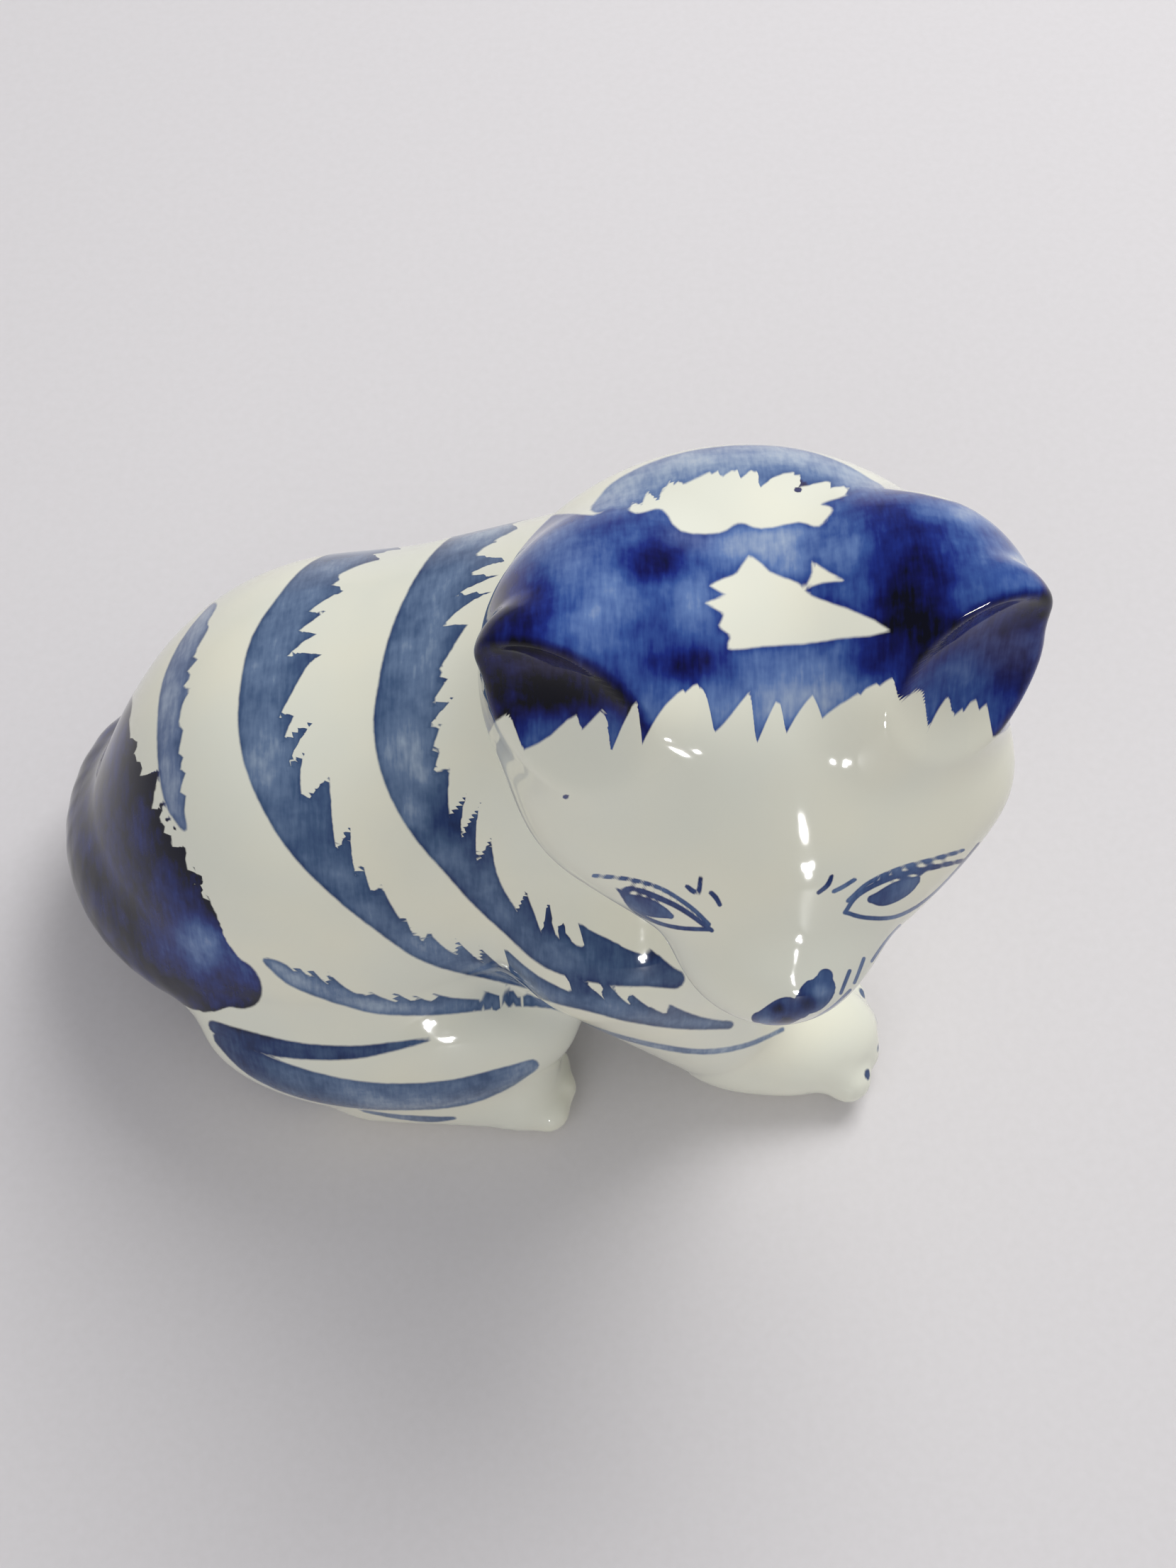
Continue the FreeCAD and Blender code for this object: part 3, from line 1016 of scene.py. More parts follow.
CROWN_FUR = Fur(5.0, 3.9, 0.0, 12.0)
HEAD_BRUSH = Brush(
    marks=(
        Patch(((1.0, 24.0), (1.0, 39.0), (6.6, 43.1), (11.0, 42.6), (14.4, 41.4), (16.6, 42.6),
               (18.4, 41.4), (20.7, 41.9), (22.3, 39.6), (25.8, 39.4), (27.6, 40.4), (29.6, 39.8),
               (33.0, 40.4), (34.6, 39.9), (36.0, 41.6), (35.0, 42.2), (37.6, 43.2), (38.5, 44.4),
               (41.6, 43.9), (46.4, 42.5), (53.0, 41.0), (58.0, 33.0), (57.0, 24.6), (50.1, 24.6),
               (46.1, 24.6), (43.6, 25.6), (38.8, 25.9), (36.4, 25.2), (33.2, 24.5), (30.7, 24.5),
               (27.8, 25.0), (24.8, 25.4), (22.6, 25.6), (20.4, 25.0), (18.0, 24.0), (14.6, 23.4),
               (10.5, 23.0), (6.9, 23.2)), 0.6, CROWN_FUR),
        Stroke(((15.0, 42.3, 0.8), (17.0, 44.0, 1.5), (20.1, 45.9, 1.5), (24.0, 47.2, 1.5),
                (28.6, 47.7, 1.6), (33.2, 47.4, 1.7), (37.3, 46.0, 1.5), (40.4, 44.3, 1.0)), (0.34, 0.3),
               Fur(2.6, 2.9, 0.2, 4.0), ragged=-1, bright=0.5),
    ),
    reserves=(
        Patch(((24.4, 32.7), (26.4, 33.4), (24.8, 34.3), (27.2, 35.4), (28.4, 37.1), (30.0, 35.6),
               (31.2, 35.0), (32.5, 34.4), (33.6, 33.2), (36.6, 31.9), (39.9, 30.0), (36.0, 29.5),
               (32.9, 29.1), (29.4, 28.9), (26.3, 28.6), (26.6, 29.8), (25.5, 30.6), (26.0, 31.8)), per=2),
        Patch(((33.8, 36.4), (35.0, 35.4), (36.2, 34.6), (34.6, 34.5), (33.2, 34.1), (33.8, 35.2)), per=1),
    ),
    washes=(
        Wash((20.0, 45.5), (9.0, 3.0), 0.32, strength=0.9),
        Wash((12.5, 37.5), (3.6, 2.4), 0.44, 0.1, 0.9),
        Wash((14.8, 33.4), (2.6, 3.4), 0.42, 0.0, 0.9),
        Wash((8.6, 32.6), (2.2, 4.2), 0.82, 0.0, 0.95),
        Wash((19.6, 36.8), (2.6, 2.2), 0.88, 0.0, 0.95),
        Wash((17.4, 39.6), (2.4, 1.3), 0.62, 0.0, 0.8),
        Wash((23.2, 38.9), (2.4, 1.3), 0.52, 0.45, 0.9),
        Wash((22.6, 32.4), (2.0, 3.0), 0.46, 0.0, 0.9),
        Wash((20.0, 31.0), (1.5, 2.6), 0.66, 0.0, 0.7),
        Wash((29.4, 38.4), (4.0, 1.6), 0.3, 0.0, 0.9),
        Wash((31.6, 36.4), (1.9, 1.4), 0.36, 0.0, 0.8),
        Wash((36.2, 37.0), (1.8, 2.6), 0.5, 0.0, 0.8),
        Wash((37.6, 33.6), (1.8, 1.8), 0.5, 0.0, 0.8),
        Wash((22.8, 27.3), (3.6, 1.5), 0.9, 0.0, 1.0),
        Wash((28.6, 27.4), (1.8, 1.0), 0.62, 0.0, 0.8),
        Wash((33.0, 27.2), (5.0, 1.2), 0.5, 0.0, 0.8),
        Wash((30.0, 23.8), (9.0, 2.0), 0.32, 0.0, 0.95),
        Wash((38.4, 27.6), (1.8, 1.5), 0.9, 0.0, 0.95),
        Wash((4.8, 31.5), (2.0, 6.5), 0.97, 0.0, 0.95),
        Wash((8.4, 40.5), (2.4, 2.0), 0.6, 0.2, 0.7),
        Wash((41.5, 38.4), (2.8, 4.0), 0.86, 0.0, 0.95),
        Wash((42.4, 31.6), (3.4, 5.0), 0.97, 0.0, 0.95),
        Wash((48.0, 32.6), (3.2, 2.2), 0.58, 0.0, 0.85),
        Wash((49.6, 37.4), (3.0, 1.6), 0.62, 0.0, 0.7),
        Wash((52.5, 36.4), (1.7, 1.0), 0.22, 0.0, 0.95),
        Wash((48.4, 41.0), (5.0, 1.2), 0.34, 0.1, 0.9),
        Wash((54.8, 32.0), (1.7, 4.4), 0.9, 0.0, 0.95),
        Wash((9.0, 25.0), (7.0, 2.4), 0.99, 0.1, 0.95),
    ),
)

NAPE_BRUSH = Brush(
    marks=(
        Stroke(((-15.0, 0.5, 0.6), (-9.0, 2.8, 1.6), (0.0, 3.8, 2.0), (9.0, 2.8, 1.7), (15.0, 0.5, 0.6)),
               (0.46, 0.5), Fur(2.8, 3.0, 0.3, 6.0), bright=0.3),
        Stroke(((-16.5, -6.5, 0.6), (-10.0, -4.4, 1.5), (0.0, -3.6, 1.8), (10.0, -4.4, 1.6),
                (16.5, -6.5, 0.6)), (0.5, 0.46), Fur(2.8, 3.3, 0.3, 8.0), bright=0.2),
    ),
)

INNER_EARS = (
    Wash((12.0, 25.6), (10.0, 4.0), 1.0, 0.2),
    Wash((10.6, 27.4), (3.6, 1.5), 0.88, 0.9, 0.85),
    Wash((15.0, 27.0), (2.6, 0.8), 0.8, 0.7, 0.7),
    Wash((50.6, 28.6), (4.2, 2.8), 0.68, 0.7, 0.95),
    Wash((46.0, 26.0), (3.2, 2.0), 0.56, 0.15, 0.9),
    Wash((49.5, 24.2), (4.6, 1.2), 0.68, 0.0, 0.9),
)

FACE_BRUSH = Brush(
    marks=(
        # left of the face: lids, crease, iris and brow
        Stroke(((16.6, 6.9, 0.23), (18.2, 7.05, 0.27), (20.0, 6.5, 0.3), (22.6, 5.3, 0.28),
                (25.4, 3.3, 0.23)), (0.76, 0.7)),
        Stroke(((17.0, 6.8, 0.23), (18.2, 5.0, 0.23), (20.1, 3.9, 0.23), (22.4, 3.4, 0.24),
                (25.3, 3.4, 0.23)), (0.62, 0.66)),
        Stroke(((14.5, 8.2, 0.23), (17.7, 8.0, 0.23), (20.7, 7.2, 0.23), (23.4, 5.5, 0.23),
                (25.1, 3.9, 0.23)), (0.5, 0.54)),
        Stroke(((17.7, 6.2, 0.4), (18.6, 5.7, 0.8), (19.8, 5.2, 0.9), (21.0, 4.8, 0.6), (21.7, 4.5, 0.3)),
               (0.84, 0.56)),
        Stroke(((23.0, 7.5, 0.23), (23.6, 7.0, 0.26), (24.1, 6.9, 0.24)), (0.74, 0.74)),
        Stroke(((24.1, 6.9, 0.24), (24.2, 8.4, 0.23)), (0.7, 0.8)),
        Stroke(((25.1, 7.0, 0.23), (25.6, 6.5, 0.26), (26.0, 5.8, 0.23)), (0.7, 0.7)),
        # right of the face
        Stroke(((37.4, 5.1, 0.23), (38.6, 6.8, 0.26), (41.5, 8.25, 0.3), (44.8, 8.95, 0.3),
                (49.9, 9.7, 0.23)), (0.64, 0.72)),
        Stroke(((37.5, 5.1, 0.23), (39.4, 4.55, 0.23), (42.5, 4.45, 0.24), (45.5, 5.7, 0.24),
                (48.2, 8.0, 0.23), (50.9, 11.2, 0.23)), (0.58, 0.64)),
        Stroke(((37.6, 6.2, 0.23), (39.5, 7.9, 0.23), (42.6, 9.2, 0.23), (46.0, 9.95, 0.23),
                (49.0, 10.6, 0.23)), (0.46, 0.5)),
        Stroke(((39.8, 6.3, 0.4), (40.9, 6.4, 0.85), (42.2, 6.9, 1), (43.5, 7.5, 0.8), (44.3, 8.0, 0.4)),
               (0.7, 0.56)),
        Stroke(((34.8, 7.0, 0.23), (35.6, 7.7, 0.26), (35.9, 8.5, 0.23)), (0.64, 0.76)),
        Stroke(((36.2, 7.1, 0.23), (37.0, 7.5, 0.23), (38.1, 8.2, 0.23)), (0.46, 0.46)),
        # nose, mouth and whisker marks
        Stroke(((30.0, -5.1, 0.7), (31.3, -4.8, 1.4), (32.6, -4.4, 1.6), (33.8, -4.2, 1)), (0.66, 0.74)),
        Stroke(((33.6, -4.0, 1), (34.7, -3.1, 1.6), (35.6, -2.0, 1.5), (35.9, -1.0, 0.8)), (0.8, 0.66)),
        Stroke(((26.6, -5.0, 0.23), (28.6, -6.1, 0.26), (31.2, -6.7, 0.3), (33.8, -6.3, 0.28),
                (36.4, -4.6, 0.24), (38.6, -2.6, 0.23)), (0.5, 0.5)),
        Stroke(((22.8, -1.0, 0.23), (24.0, -3.0, 0.28), (26.4, -4.8, 0.23)), (0.5, 0.56)),
        Stroke(((37.6, -2.7, 0.23), (38.3, -0.6, 0.23)), (0.54, 0.54)),
        Stroke(((39.0, -1.8, 0.23), (39.7, 0.5, 0.23)), (0.5, 0.5)),
        Stroke(((43.4, 3.4, 0.23), (41.9, 1.8, 0.24), (40.7, 0.2, 0.23)), (0.5, 0.54)),
        # specks of iron
        Stroke(((33.1, 43.7, 0.3), (33.3, 43.7, 0.3)), (0.6, 0.6), warm=0.9),
        Stroke(((11.9, 15.6, 0.26), (12.1, 15.6, 0.26)), (0.5, 0.5), warm=0.7),
    ),
    washes=(
        Wash((31.6, -4.0), (0.6, 0.5), 0.95, strength=0.9),
        Wash((32.6, -5.4), (0.7, 0.5), 0.92, strength=0.9),
        Wash((30.6, -5.4), (0.6, 0.5), 0.5, strength=0.8),
        Wash((34.6, -3.6), (0.6, 0.7), 0.95, strength=0.9),
        Wash((35.6, -2.4), (0.7, 0.6), 0.46, strength=0.8),
    ),
)


@dataclass
class Painter:
    """Carries the brushes over the pieces. The painting plane faces the painter, up and to the front."""

    top: float = 47.6
    front: float = -9.0
    sole: float = 0.5
    crisp: float = 2.6
    nape: float = 4.0
    face_top: float = 20.0
    speck_level: float = 42.0
    halo: float = -0.8
    line_bright: float = 0.3
    scoop_skin: float = 0.9
    scoop_inmost: float = 4.0
    scoop_tone: float = 0.9
    sole_crisp: float = 2.0
    dot_radius: float = 0.85
    dot_tone: float = 0.58
    dot_halo: float = -0.7
    dot_offset: Point = (2.1, 0.0, 1.6)

    def coat(self, piece: Piece, points: Array, normals: Array) -> Coat:
        """Paints a piece's skin.

        The plane's coordinates are the dot products of a point with X and with UP. A leg's toes get their
        dots, and the paint stops short of the table.

        Args:
            piece: The piece.
            points: Its points.
            normals: Its normals.

        Returns:
            The coat on each point.
        """
        plane = np.stack([points[:, 0], points @ UP], axis=-1)
        if piece.name == "tail":
            coat = TAIL_BRUSH.paint(plane)
        elif piece.name.endswith("ear"):
            coat = HEAD_BRUSH.paint(plane)
            self._inner_ear(coat, plane, points)
        elif piece.name == "head_shell":
            coat = self._head(plane, points, normals)
        else:
            coat = BODY_BRUSH.paint(plane)
        if piece.name.endswith("front_leg"):
            self._toe_dots(piece, points, coat)
        coat.ink = np.minimum(coat.ink, (points[:, 2] - self.sole) * self.sole_crisp)
        return coat

    def _inner_ear(self, coat: Coat, plane: Array, points: Array) -> None:
        """Darkens the scoops of the ears.

        Args:
            coat: The coat, which is changed.
            plane: The points on the painting plane.
            points: The points.
        """
        for side in Side:
            ear = Ear(side)
            q = ear.in_ear(points)
            scooped = np.clip(1.0 - np.abs(ear.scoop.distance(q)) / self.scoop_skin, 0.0, 1.0)
            scooped = scooped * (q[:, 0] > self.scoop_inmost)
            tone, warm = np.full(len(plane), self.scoop_tone), np.zeros(len(plane))
            for wash in INNER_EARS:
                share = wash.share(plane)
                tone, warm = tone + share * (wash.tone - tone), warm + share * (wash.warm - warm)
            coat.tone = coat.tone + scooped * (tone - coat.tone)
            coat.warm = coat.warm + scooped * (warm - coat.warm)

    def _head(self, plane: Array, points: Array, normals: Array) -> Coat:
        """Paints the head: the crown, the stripes on the nape, and the face.

        Where the skin faces away, the plane goes on over the crown, so its second coordinate is mirrored
        in the head's top.

        Args:
            plane: The points on the painting plane.
            points: The points.
            normals: The normals there.

        Returns:
            The coat.
        """
        away = normals @ OUT < 0.0
        plane[:, 1] = np.where(away, 2.0 * self.top - plane[:, 1], plane[:, 1])
        coat = HEAD_BRUSH.paint(plane)
        self._inner_ear(coat, plane, points)
        q = in_head(points)
        back = np.flatnonzero(q[:, 1] > self.nape)
        lower = NAPE_BRUSH.paint(q[back][:, [0, 2]])
        lower.ink = np.minimum(lower.ink, q[back, 1] - self.nape)
        under = lower.ink > np.maximum(coat.ink[back], self.halo)
        for name, values in vars(coat).items():
            values[back[under]] = vars(lower)[name][under]
        low = (q[:, 1] < self.front) & ~away & (plane[:, 1] < self.face_top)
        in_front = low | (plane[:, 1] > self.speck_level)
        lines = np.flatnonzero(in_front)
        face = FACE_BRUSH.paint(plane[lines])
        coat.ink[lines] = np.maximum(coat.ink[lines], face.ink * self.crisp)
        close = face.ink > self.halo
        near = lines[close]
        coat.tone[near], coat.warm[near] = face.tone[close], face.warm[close]
        coat.bright[near] = self.line_bright
        return coat

    def _toe_dots(self, piece: Piece, points: Array, coat: Coat) -> None:
        """Puts a dot on each toe.

        Args:
            piece: The leg.
            points: Its points.
            coat: Its coat, which is changed.
        """
        side = Side.LEFT if piece.name.startswith("left") else Side.RIGHT
        for tip in FrontLeg(side).toe_tips():
            dot = (tip + np.array(self.dot_offset)) * np.array([1, side.value, 1])
            depth = self.dot_radius - np.linalg.norm(points - dot, axis=-1)
            coat.ink = np.maximum(coat.ink, depth)
            coat.tone = np.where(depth > self.dot_halo, self.dot_tone, coat.tone)


# ------------------------------------------------------------------------------------------- finish

def linear(red: int, green: int, blue: int) -> tuple[float, float, float, float]:
    """A colour on a 0 to 255 display scale, as linear light with full alpha.

    Args:
        red: Red.
        green: Green.
        blue: Blue.

    Returns:
        Red, green, blue and alpha from 0 to 1.
    """
    parts = [c / 255.0 for c in (red, green, blue)]
    r, g, b = (c / 12.92 if c <= 0.04045 else ((c + 0.055) / 1.055) ** 2.4 for c in parts)
    return r, g, b, 1.0


class Recipe:
    """A material's node tree, and the one way in which nodes are put into it."""

    def __init__(self, name: str) -> None:
        """Starts an empty node tree for a new material.

        Args:
            name: The material's name.
        """
        self.material = bpy.data.materials.new(name)
        self.material.use_nodes = True
        self.tree = self.material.node_tree
        self.tree.nodes.clear()

    def node(self, kind: str, settings: Union[dict[str, Any], None] = None, **values: Any) -> bpy.types.Node:
        """Adds a node.

        Args:
            kind: The node's type, without the word ShaderNode.
            settings: Its settings, set first. `stops` fills a colour ramp with (place, colour) pairs.
            **values: What goes into its sockets, by name or identifier with _ for a space: a number, a
                tuple, a Num or an output socket.

        Returns:
            The node.
        """
        made = self.tree.nodes.new("ShaderNode" + kind)
        for key, value in (settings or {}).items():
            if key == "stops":
                self._fill(made.color_ramp, value)
            else:
                setattr(made, key, value)
        for key, value in values.items():
            self._feed(made, key, value)
        return made

    def _fill(self, ramp: bpy.types.ColorRamp, stops: Sequence[tuple[float, Sequence[float]]]) -> None:
        """Gives a colour ramp its stops.

        Args:
            ramp: The ramp.
            stops: Places from 0 to 1, with their colours.
        """
        while len(ramp.elements) < len(stops):
            ramp.elements.new(0.5)
        for element, (place, colour) in zip(ramp.elements, stops):
            element.position = place
            element.color = colour

    def _feed(self, made: bpy.types.Node, key: str, value: Any) -> None:
        """Links or sets one input socket.

        Args:
            made: The node.
            key: The socket's name or identifier.
            value: A value, or an output to link.
        """
        names = (key, key.replace("_", " "))
        found = [s for s in made.inputs if s.identifier in names and s.enabled]
        found = found or [s for s in made.inputs if s.name in names and s.enabled]
        if isinstance(value, Num):
            value = value.socket
        if isinstance(value, bpy.types.NodeSocket):
            self.tree.links.new(value, found[0])
        else:
            found[0].default_value = value

    def attribute(self, name: str) -> "Num":
        """A number that each point of the piece carries."""
        return Num(self, self.node("Attribute", {"attribute_name": name}).outputs["Fac"])

    def along(self, where: bpy.types.NodeSocket, axis: Array) -> "Num":
        """How far a place is along an axis: their dot product."""
        made = self.node("VectorMath", {"operation": "DOT_PRODUCT"}, Vector=where, Vector_001=tuple(axis))
        return Num(self, made.outputs["Value"])

    def noise(self, where: bpy.types.NodeSocket, period: float, detail: float = 2.0) -> "Num":
        """Cloudy noise about 0, from -1/2 to 1/2, over a period in metres."""
        made = self.node("TexNoise", {"noise_dimensions": "3D"},
                         Vector=where, Scale=1.0 / period, Detail=detail)
        return Num(self, made.outputs["Fac"]) - 0.5

    def ease(self, value: "Num", low: float, high: float) -> "Num":
        """0 below low, 1 above high and a smooth curve between them."""
        made = self.node("MapRange", {"interpolation_type": "SMOOTHSTEP"},
                         Value=value, From_Min=low, From_Max=high)
        return Num(self, made.outputs["Result"])

    def ramp(self, value: "Num", stops: Sequence[tuple[float, Sequence[float]]]) -> bpy.types.NodeSocket:
        """A colour for each value, by the stops."""
        return self.node("ValToRGB", {"stops": stops}, Fac=value).outputs["Color"]

    def mix(self, share: Any, first: Any, second: Any) -> bpy.types.NodeSocket:
        """A colour between two."""
        made = self.node("Mix", {"data_type": "RGBA"}, Factor_Float=share, A_Color=first, B_Color=second)
        return made.outputs["Result_Color"] if "Result_Color" in made.outputs else made.outputs[2]


class Num:
    """A number socket, with arithmetic that adds Math nodes."""

    def __init__(self, recipe: Recipe, socket: bpy.types.NodeSocket) -> None:
        """Wraps an output socket."""
        self.recipe = recipe
        self.socket = socket

    def _math(self, operation: str, first: Any, second: Any) -> "Num":
        """Adds one Math node.

        Args:
            operation: Its operation.
            first: A number or a Num.
            second: The same.

        Returns:
            Its result.
        """
        made = self.recipe.tree.nodes.new("ShaderNodeMath")
        made.operation = operation
        for socket, value in zip(made.inputs, (first, second)):
            if isinstance(value, Num):
                self.recipe.tree.links.new(value.socket, socket)
            else:
                socket.default_value = value
        return Num(self.recipe, made.outputs[0])

    def __add__(self, other: Any) -> "Num":
        """Their sum."""
        return self._math("ADD", self, other)

    __radd__ = __add__

    def __sub__(self, other: Any) -> "Num":
        """Their difference."""
        return self._math("SUBTRACT", self, other)

    def __rsub__(self, other: Any) -> "Num":
        """Their difference, the other way round."""
        return self._math("SUBTRACT", other, self)

    def __mul__(self, other: Any) -> "Num":
        """Their product."""
        return self._math("MULTIPLY", self, other)

    __rmul__ = __mul__


@dataclass(frozen=True)
class Glaze:
    """A clear glaze on white clay painted in cobalt.

    Tones run from 0, the bare white, to 1, the deepest pool. There is a ramp of slate blue for the body's
    stripes, of bright cobalt for the head and tail, and of violet brown for burnt patches.
    """

    name: str
    white: tuple[float, ...] = linear(240, 238, 218)
    cool: tuple[float, ...] = linear(233, 234, 219)
    clay: tuple[float, ...] = linear(214, 204, 186)
    roughness: float = 0.055
    edge: float = 0.16
    gloss: float = 0.26
    edge_period: float = 0.0011
    cloud_period: float = 0.0055
    clouds: float = 0.55
    mottle_period: float = 0.0016
    mottle: float = 0.2
    streak_period: float = 0.0022
    streaks: float = 0.24
    pooling: float = 0.07
    white_period: float = 0.018
    ripple_period: float = 0.006
    ripple: float = 0.12

    def ramps(self) -> tuple[list[tuple[float, Sequence[float]]], ...]:
        """The stops of the slate, cobalt and brown ramps.

        Returns:
            Three lists of places and colours.
        """
        slate = [(0.0, linear(214, 218, 212)), (0.25, linear(162, 178, 196)), (0.45, linear(104, 126, 158)),
                 (0.62, linear(70, 94, 130)), (0.8, linear(36, 58, 104)), (1.0, linear(8, 18, 52))]
        cobalt = [(0.0, linear(212, 216, 212)), (0.22, linear(160, 176, 200)), (0.42, linear(98, 126, 178)),
                  (0.6, linear(54, 84, 150)), (0.75, linear(24, 42, 122)), (0.88, linear(12, 18, 84)),
                  (1.0, linear(4, 5, 22))]
        brown = [(0.0, linear(214, 208, 200)), (0.25, linear(150, 150, 182)), (0.45, linear(106, 104, 152)),
                 (0.62, linear(74, 74, 118)), (0.8, linear(46, 40, 60)), (1.0, linear(13, 11, 18))]
        return slate, cobalt, brown

    def material(self) -> bpy.types.Material:
        """Builds the material.

        The paint's edge is where the point's own depth, roughened by fine noise, passes 0. Inside it the
        tone varies with clouds, with streaks that run up the painting plane, and with a darker pool at
        the edge. The clay is bare where it rests on the table.

        Returns:
            The material.
        """
        r = Recipe(self.name)
        place = r.node("TexCoord").outputs["Object"]
        up, out = r.along(place, UP), r.along(place, OUT)
        split = r.node("SeparateXYZ", Vector=place)
        across = Num(r, split.outputs["X"])
        brushed = r.node("CombineXYZ", X=across * 5.0, Y=up * 0.8, Z=out * 0.8).outputs["Vector"]
        ink = r.attribute("ink") + r.noise(place, self.edge_period, 3.0) * self.edge
        mask = r.ease(ink, -0.12, 0.24)
        pool = 1.0 - r.ease(ink, 0.1, 0.8)
        tone = r.attribute("tone") + r.noise(place, self.cloud_period, 4.0) * self.clouds
        tone = tone + r.noise(place, self.mottle_period, 2.0) * self.mottle
        tone = tone + r.noise(brushed, self.streak_period, 3.0) * self.streaks + pool * self.pooling
        slate, cobalt, brown = self.ramps()
        wash = r.mix(r.attribute("bright"), r.ramp(tone, slate), r.ramp(tone, cobalt))
        wash = r.mix(r.attribute("warm"), wash, r.ramp(tone, brown))
        white = r.mix(r.ease(r.noise(place, self.white_period), -0.2, 0.2), self.white, self.cool)
        bare = 1.0 - r.ease(Num(r, split.outputs["Z"]), 0.0002, 0.0006)
        colour = r.mix(bare, r.mix(mask, white, wash), self.clay)
        rough = self.roughness + bare * 0.5
        height = r.noise(place, self.ripple_period, 1.0) + r.noise(place, self.mottle_period, 1.0) * 0.12
        bump = r.node("Bump", {}, Strength=self.ripple, Distance=0.0004, Height=height)
        shader = r.node("BsdfPrincipled", {}, Base_Color=colour, Roughness=rough, IOR=1.5,
                        Specular_IOR_Level=self.gloss, Normal=bump.outputs["Normal"])
        output = r.node("OutputMaterial")
        r.tree.links.new(shader.outputs["BSDF"], output.inputs["Surface"])
        return r.material


# ------------------------------------------------------------------------------------------- making


@dataclass
class Kitten:
    """The figurine: its clay, its paint and its glazes."""

    scale: float
    clay: Clay = field(default_factory=Clay)
    painter: Painter = field(default_factory=Painter)

    def build(self) -> None:
        """Makes every piece, and lets it stand for its CAD node."""
        white, cobalt = Glaze("white_glaze"), Glaze("cobalt_glaze", gloss=0.16)
        glazes = {Slot.WHITE: white.material(), Slot.COBALT: cobalt.material()}
        for piece in self.clay.pieces:
            points, normals, shape = self.clay.skin(piece)
            coat = self.painter.coat(piece, points, normals)
            made = self._mesh(piece, points, normals, shape, coat)
            made.data.materials.append(glazes[piece.slot])
            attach(made, "root")
            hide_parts(piece.name)
            LOG.info("%s: %d faces", piece.name, len(made.data.polygons))

    def _mesh(self, piece: Piece, points: Array, normals: Array, shape: tuple[int, int],
              coat: Coat) -> bpy.types.Object:
        """Makes a piece's mesh with its paint as attributes, and faces turned outwards.

        Args:
            piece: The piece.
            points: Its points, in millimetres.
            normals: Its normals.
            shape: Its grid's shape.
            coat: Its paint.

        Returns:
            The object, at the origin.
        """
        mesh = bpy.data.meshes.new(piece.name + "_skin")
        mesh.from_pydata((points * self.scale).tolist(), [], grid_faces(*shape))
        mesh.update()
        mesh.polygons.foreach_set("use_smooth", np.ones(len(mesh.polygons), bool))
        first = mesh.polygons[shape[0] // 2 * shape[1]]
        if np.array(first.normal) @ normals[first.vertices[0]] < 0.0:
            mesh.flip_normals()
        for name, values in vars(coat).items():
            layer = mesh.attributes.new(name, "FLOAT", "POINT")
            layer.data.foreach_set("value", np.ascontiguousarray(values, np.float32))
        mesh.normals_split_custom_set_from_vertices(normals.tolist())
        mesh.validate()
        made = bpy.data.objects.new(piece.name + "_skin", mesh)
        bpy.context.scene.collection.objects.link(made)
        return made


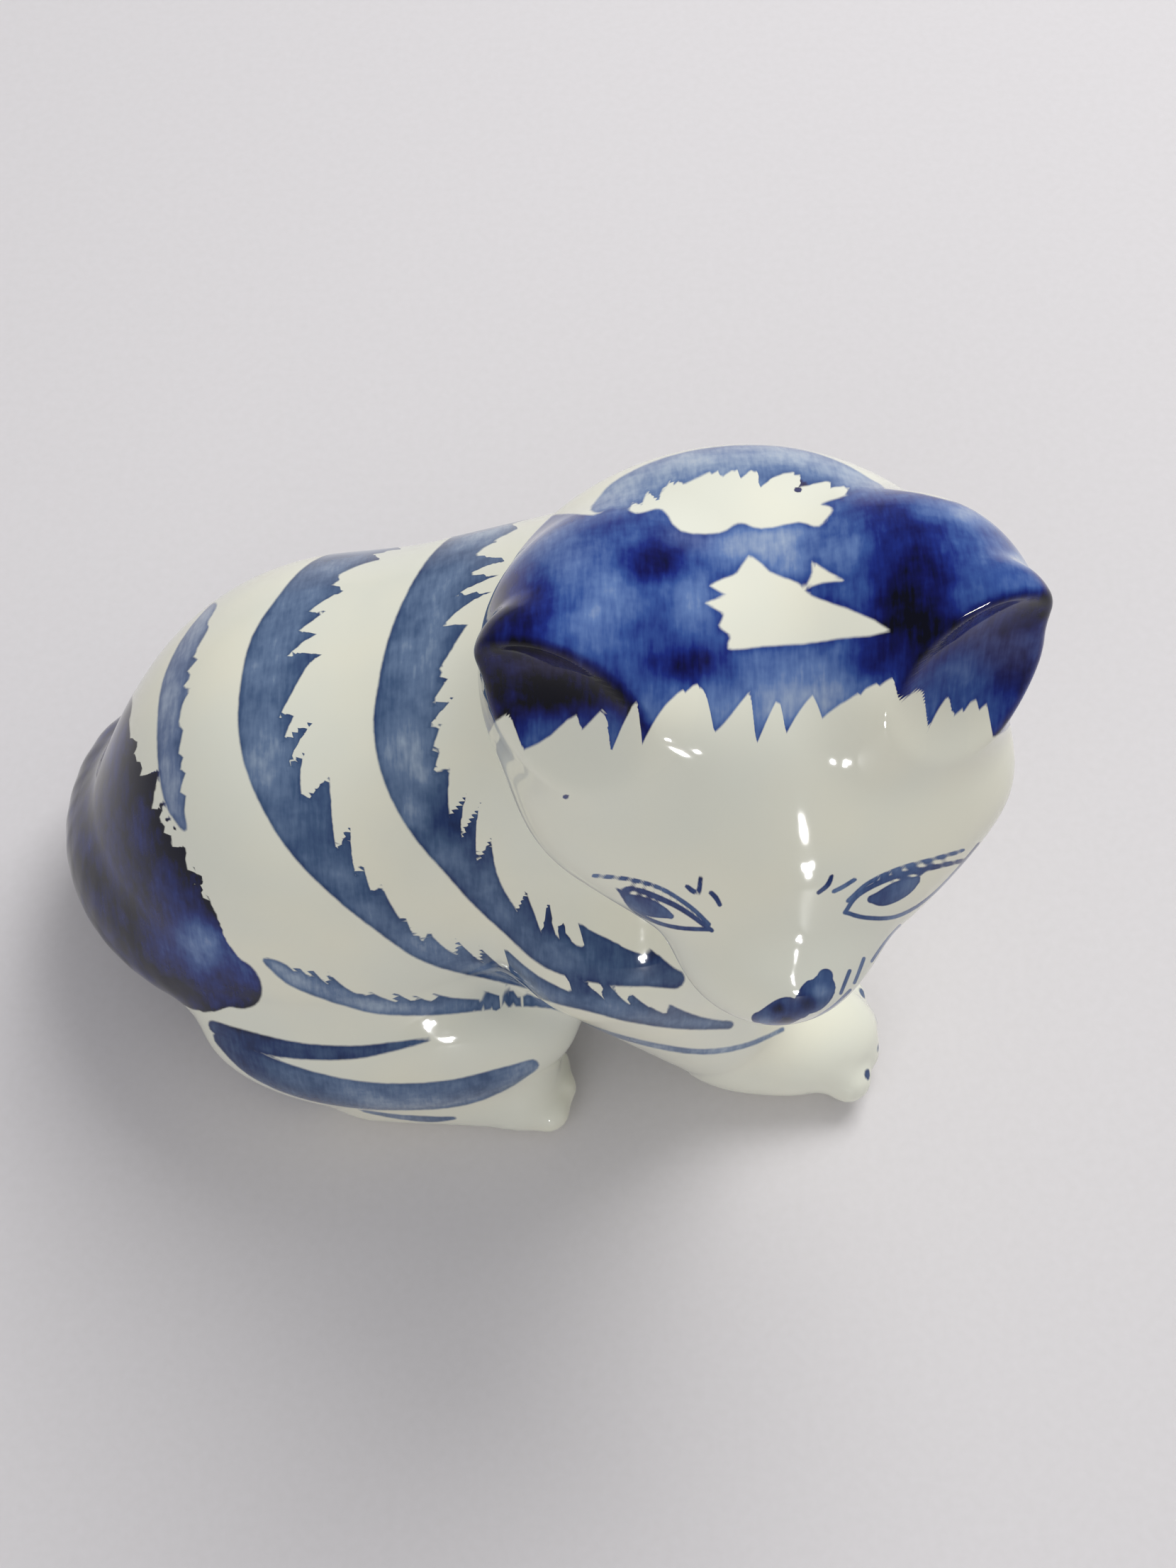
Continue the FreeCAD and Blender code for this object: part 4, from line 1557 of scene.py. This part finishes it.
@dataclass
class Studio:
    """A pale table, soft light from above, small lamps in front and the camera."""

    scale: float
    eye: Point = (14.0, -125.6, 272.0)
    lens: float = 52.1
    table: float = 900.0
    table_cells: int = 8
    drop: float = 0.02
    aim: Point = (0.0, 0.0, 30.0)
    window_aim: Point = (10.0, -20.0, 60.0)
    panes: tuple[Point, ...] = ((232.0, -960.0, 132.0), (276.0, -960.0, 140.0), (250.0, -960.0, 90.0),
                                (244.0, -940.0, 270.0))

    def floor(self) -> bpy.types.Object:
        """The table top: a flat square grid, a hair below the feet and wide enough for every view.

        Returns:
            The object.
        """
        side = np.linspace(-self.table, self.table, self.table_cells + 1) * self.scale
        x, y = np.meshgrid(side, side, indexing="ij")
        points = np.stack([x, y, np.full_like(x, -self.drop * self.scale)], axis=-1).reshape(-1, 3)
        index = np.arange(x.size).reshape(x.shape)
        corner_grids = [index[:-1, :-1], index[1:, :-1], index[1:, 1:], index[:-1, 1:]]
        faces = np.stack(corner_grids, axis=-1).reshape(-1, 4)
        mesh = bpy.data.meshes.new("table_top")
        mesh.from_pydata(points.tolist(), [], faces.tolist())
        r = Recipe("pale_table")
        grain = r.noise(r.node("TexCoord").outputs["Object"], 0.0012, 2.0)
        colour = r.ramp(grain + 0.5, [(0.0, linear(222, 219, 219)), (1.0, linear(228, 225, 226))])
        shader = r.node("BsdfPrincipled", {}, Base_Color=colour, Roughness=0.7)
        r.tree.links.new(shader.outputs["BSDF"], r.node("OutputMaterial").inputs["Surface"])
        mesh.materials.append(r.material)
        made = bpy.data.objects.new("table_top", mesh)
        bpy.context.scene.collection.objects.link(made)
        return made

    def lamp(self, name: str, place: Point, aim: Point, size: float, power: float,
             mirrored: bool = False) -> None:
        """A square soft lamp that faces a point.

        Args:
            name: Its name.
            place: Where it hangs.
            aim: The point that it faces.
            size: Its side.
            power: Its power in watts.
            mirrored: Whether it is only seen mirrored in the glaze, and lights nothing.
        """
        light = bpy.data.lights.new(name, "AREA")
        light.shape = "SQUARE"
        light.size = size * self.scale
        light.energy = power
        made = bpy.data.objects.new(name, light)
        made.location = Vector(place) * self.scale
        made.rotation_euler = (Vector(aim) - Vector(place)).to_track_quat("-Z", "Y").to_euler()
        made.visible_glossy = mirrored
        made.visible_diffuse = not mirrored
        made.visible_camera = False
        bpy.context.scene.collection.objects.link(made)

    def build(self) -> None:
        """Sets up the table, the lights and the camera."""
        self.floor()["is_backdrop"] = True
        self.lamp("ceiling", (260.0, 330.0, 620.0), self.aim, 420.0, 3.3)
        self.lamp("fill", (-250.0, -500.0, 500.0), self.aim, 500.0, 0.8)
        for index, place in enumerate(self.panes):
            self.lamp(f"window_{index}", place, self.window_aim, 34.0, 2.2, mirrored=True)
        world = bpy.data.worlds.new("room")
        world.use_nodes = True
        background = world.node_tree.nodes["Background"]
        background.inputs["Color"].default_value = (0.86, 0.86, 0.9, 1.0)
        background.inputs["Strength"].default_value = 0.45
        bpy.context.scene.world = world
        bpy.context.scene.view_settings.view_transform = "Standard"
        camera = bpy.data.cameras.new("camera")
        camera.sensor_fit = "VERTICAL"
        camera.sensor_height = 36.0
        camera.lens = self.lens
        camera.clip_start = 0.01
        made = bpy.data.objects.new("camera", camera)
        made.location = Vector(self.eye) * self.scale
        made.rotation_euler = (math.pi / 2.0 - TILT, 0.0, 0.0)
        bpy.context.scene.collection.objects.link(made)
        bpy.context.scene.camera = made


def main() -> None:
    """Builds the kitten and the studio, at the scale given by the CAD model's height."""
    logging.basicConfig(level=logging.INFO, format="%(name)s: %(message)s")
    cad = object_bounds()
    scale = (cad[1][2] - cad[0][2]) / NOMINAL_HEIGHT
    Kitten(scale).build()
    Studio(scale).build()


if __name__ == "__main__":
    main()
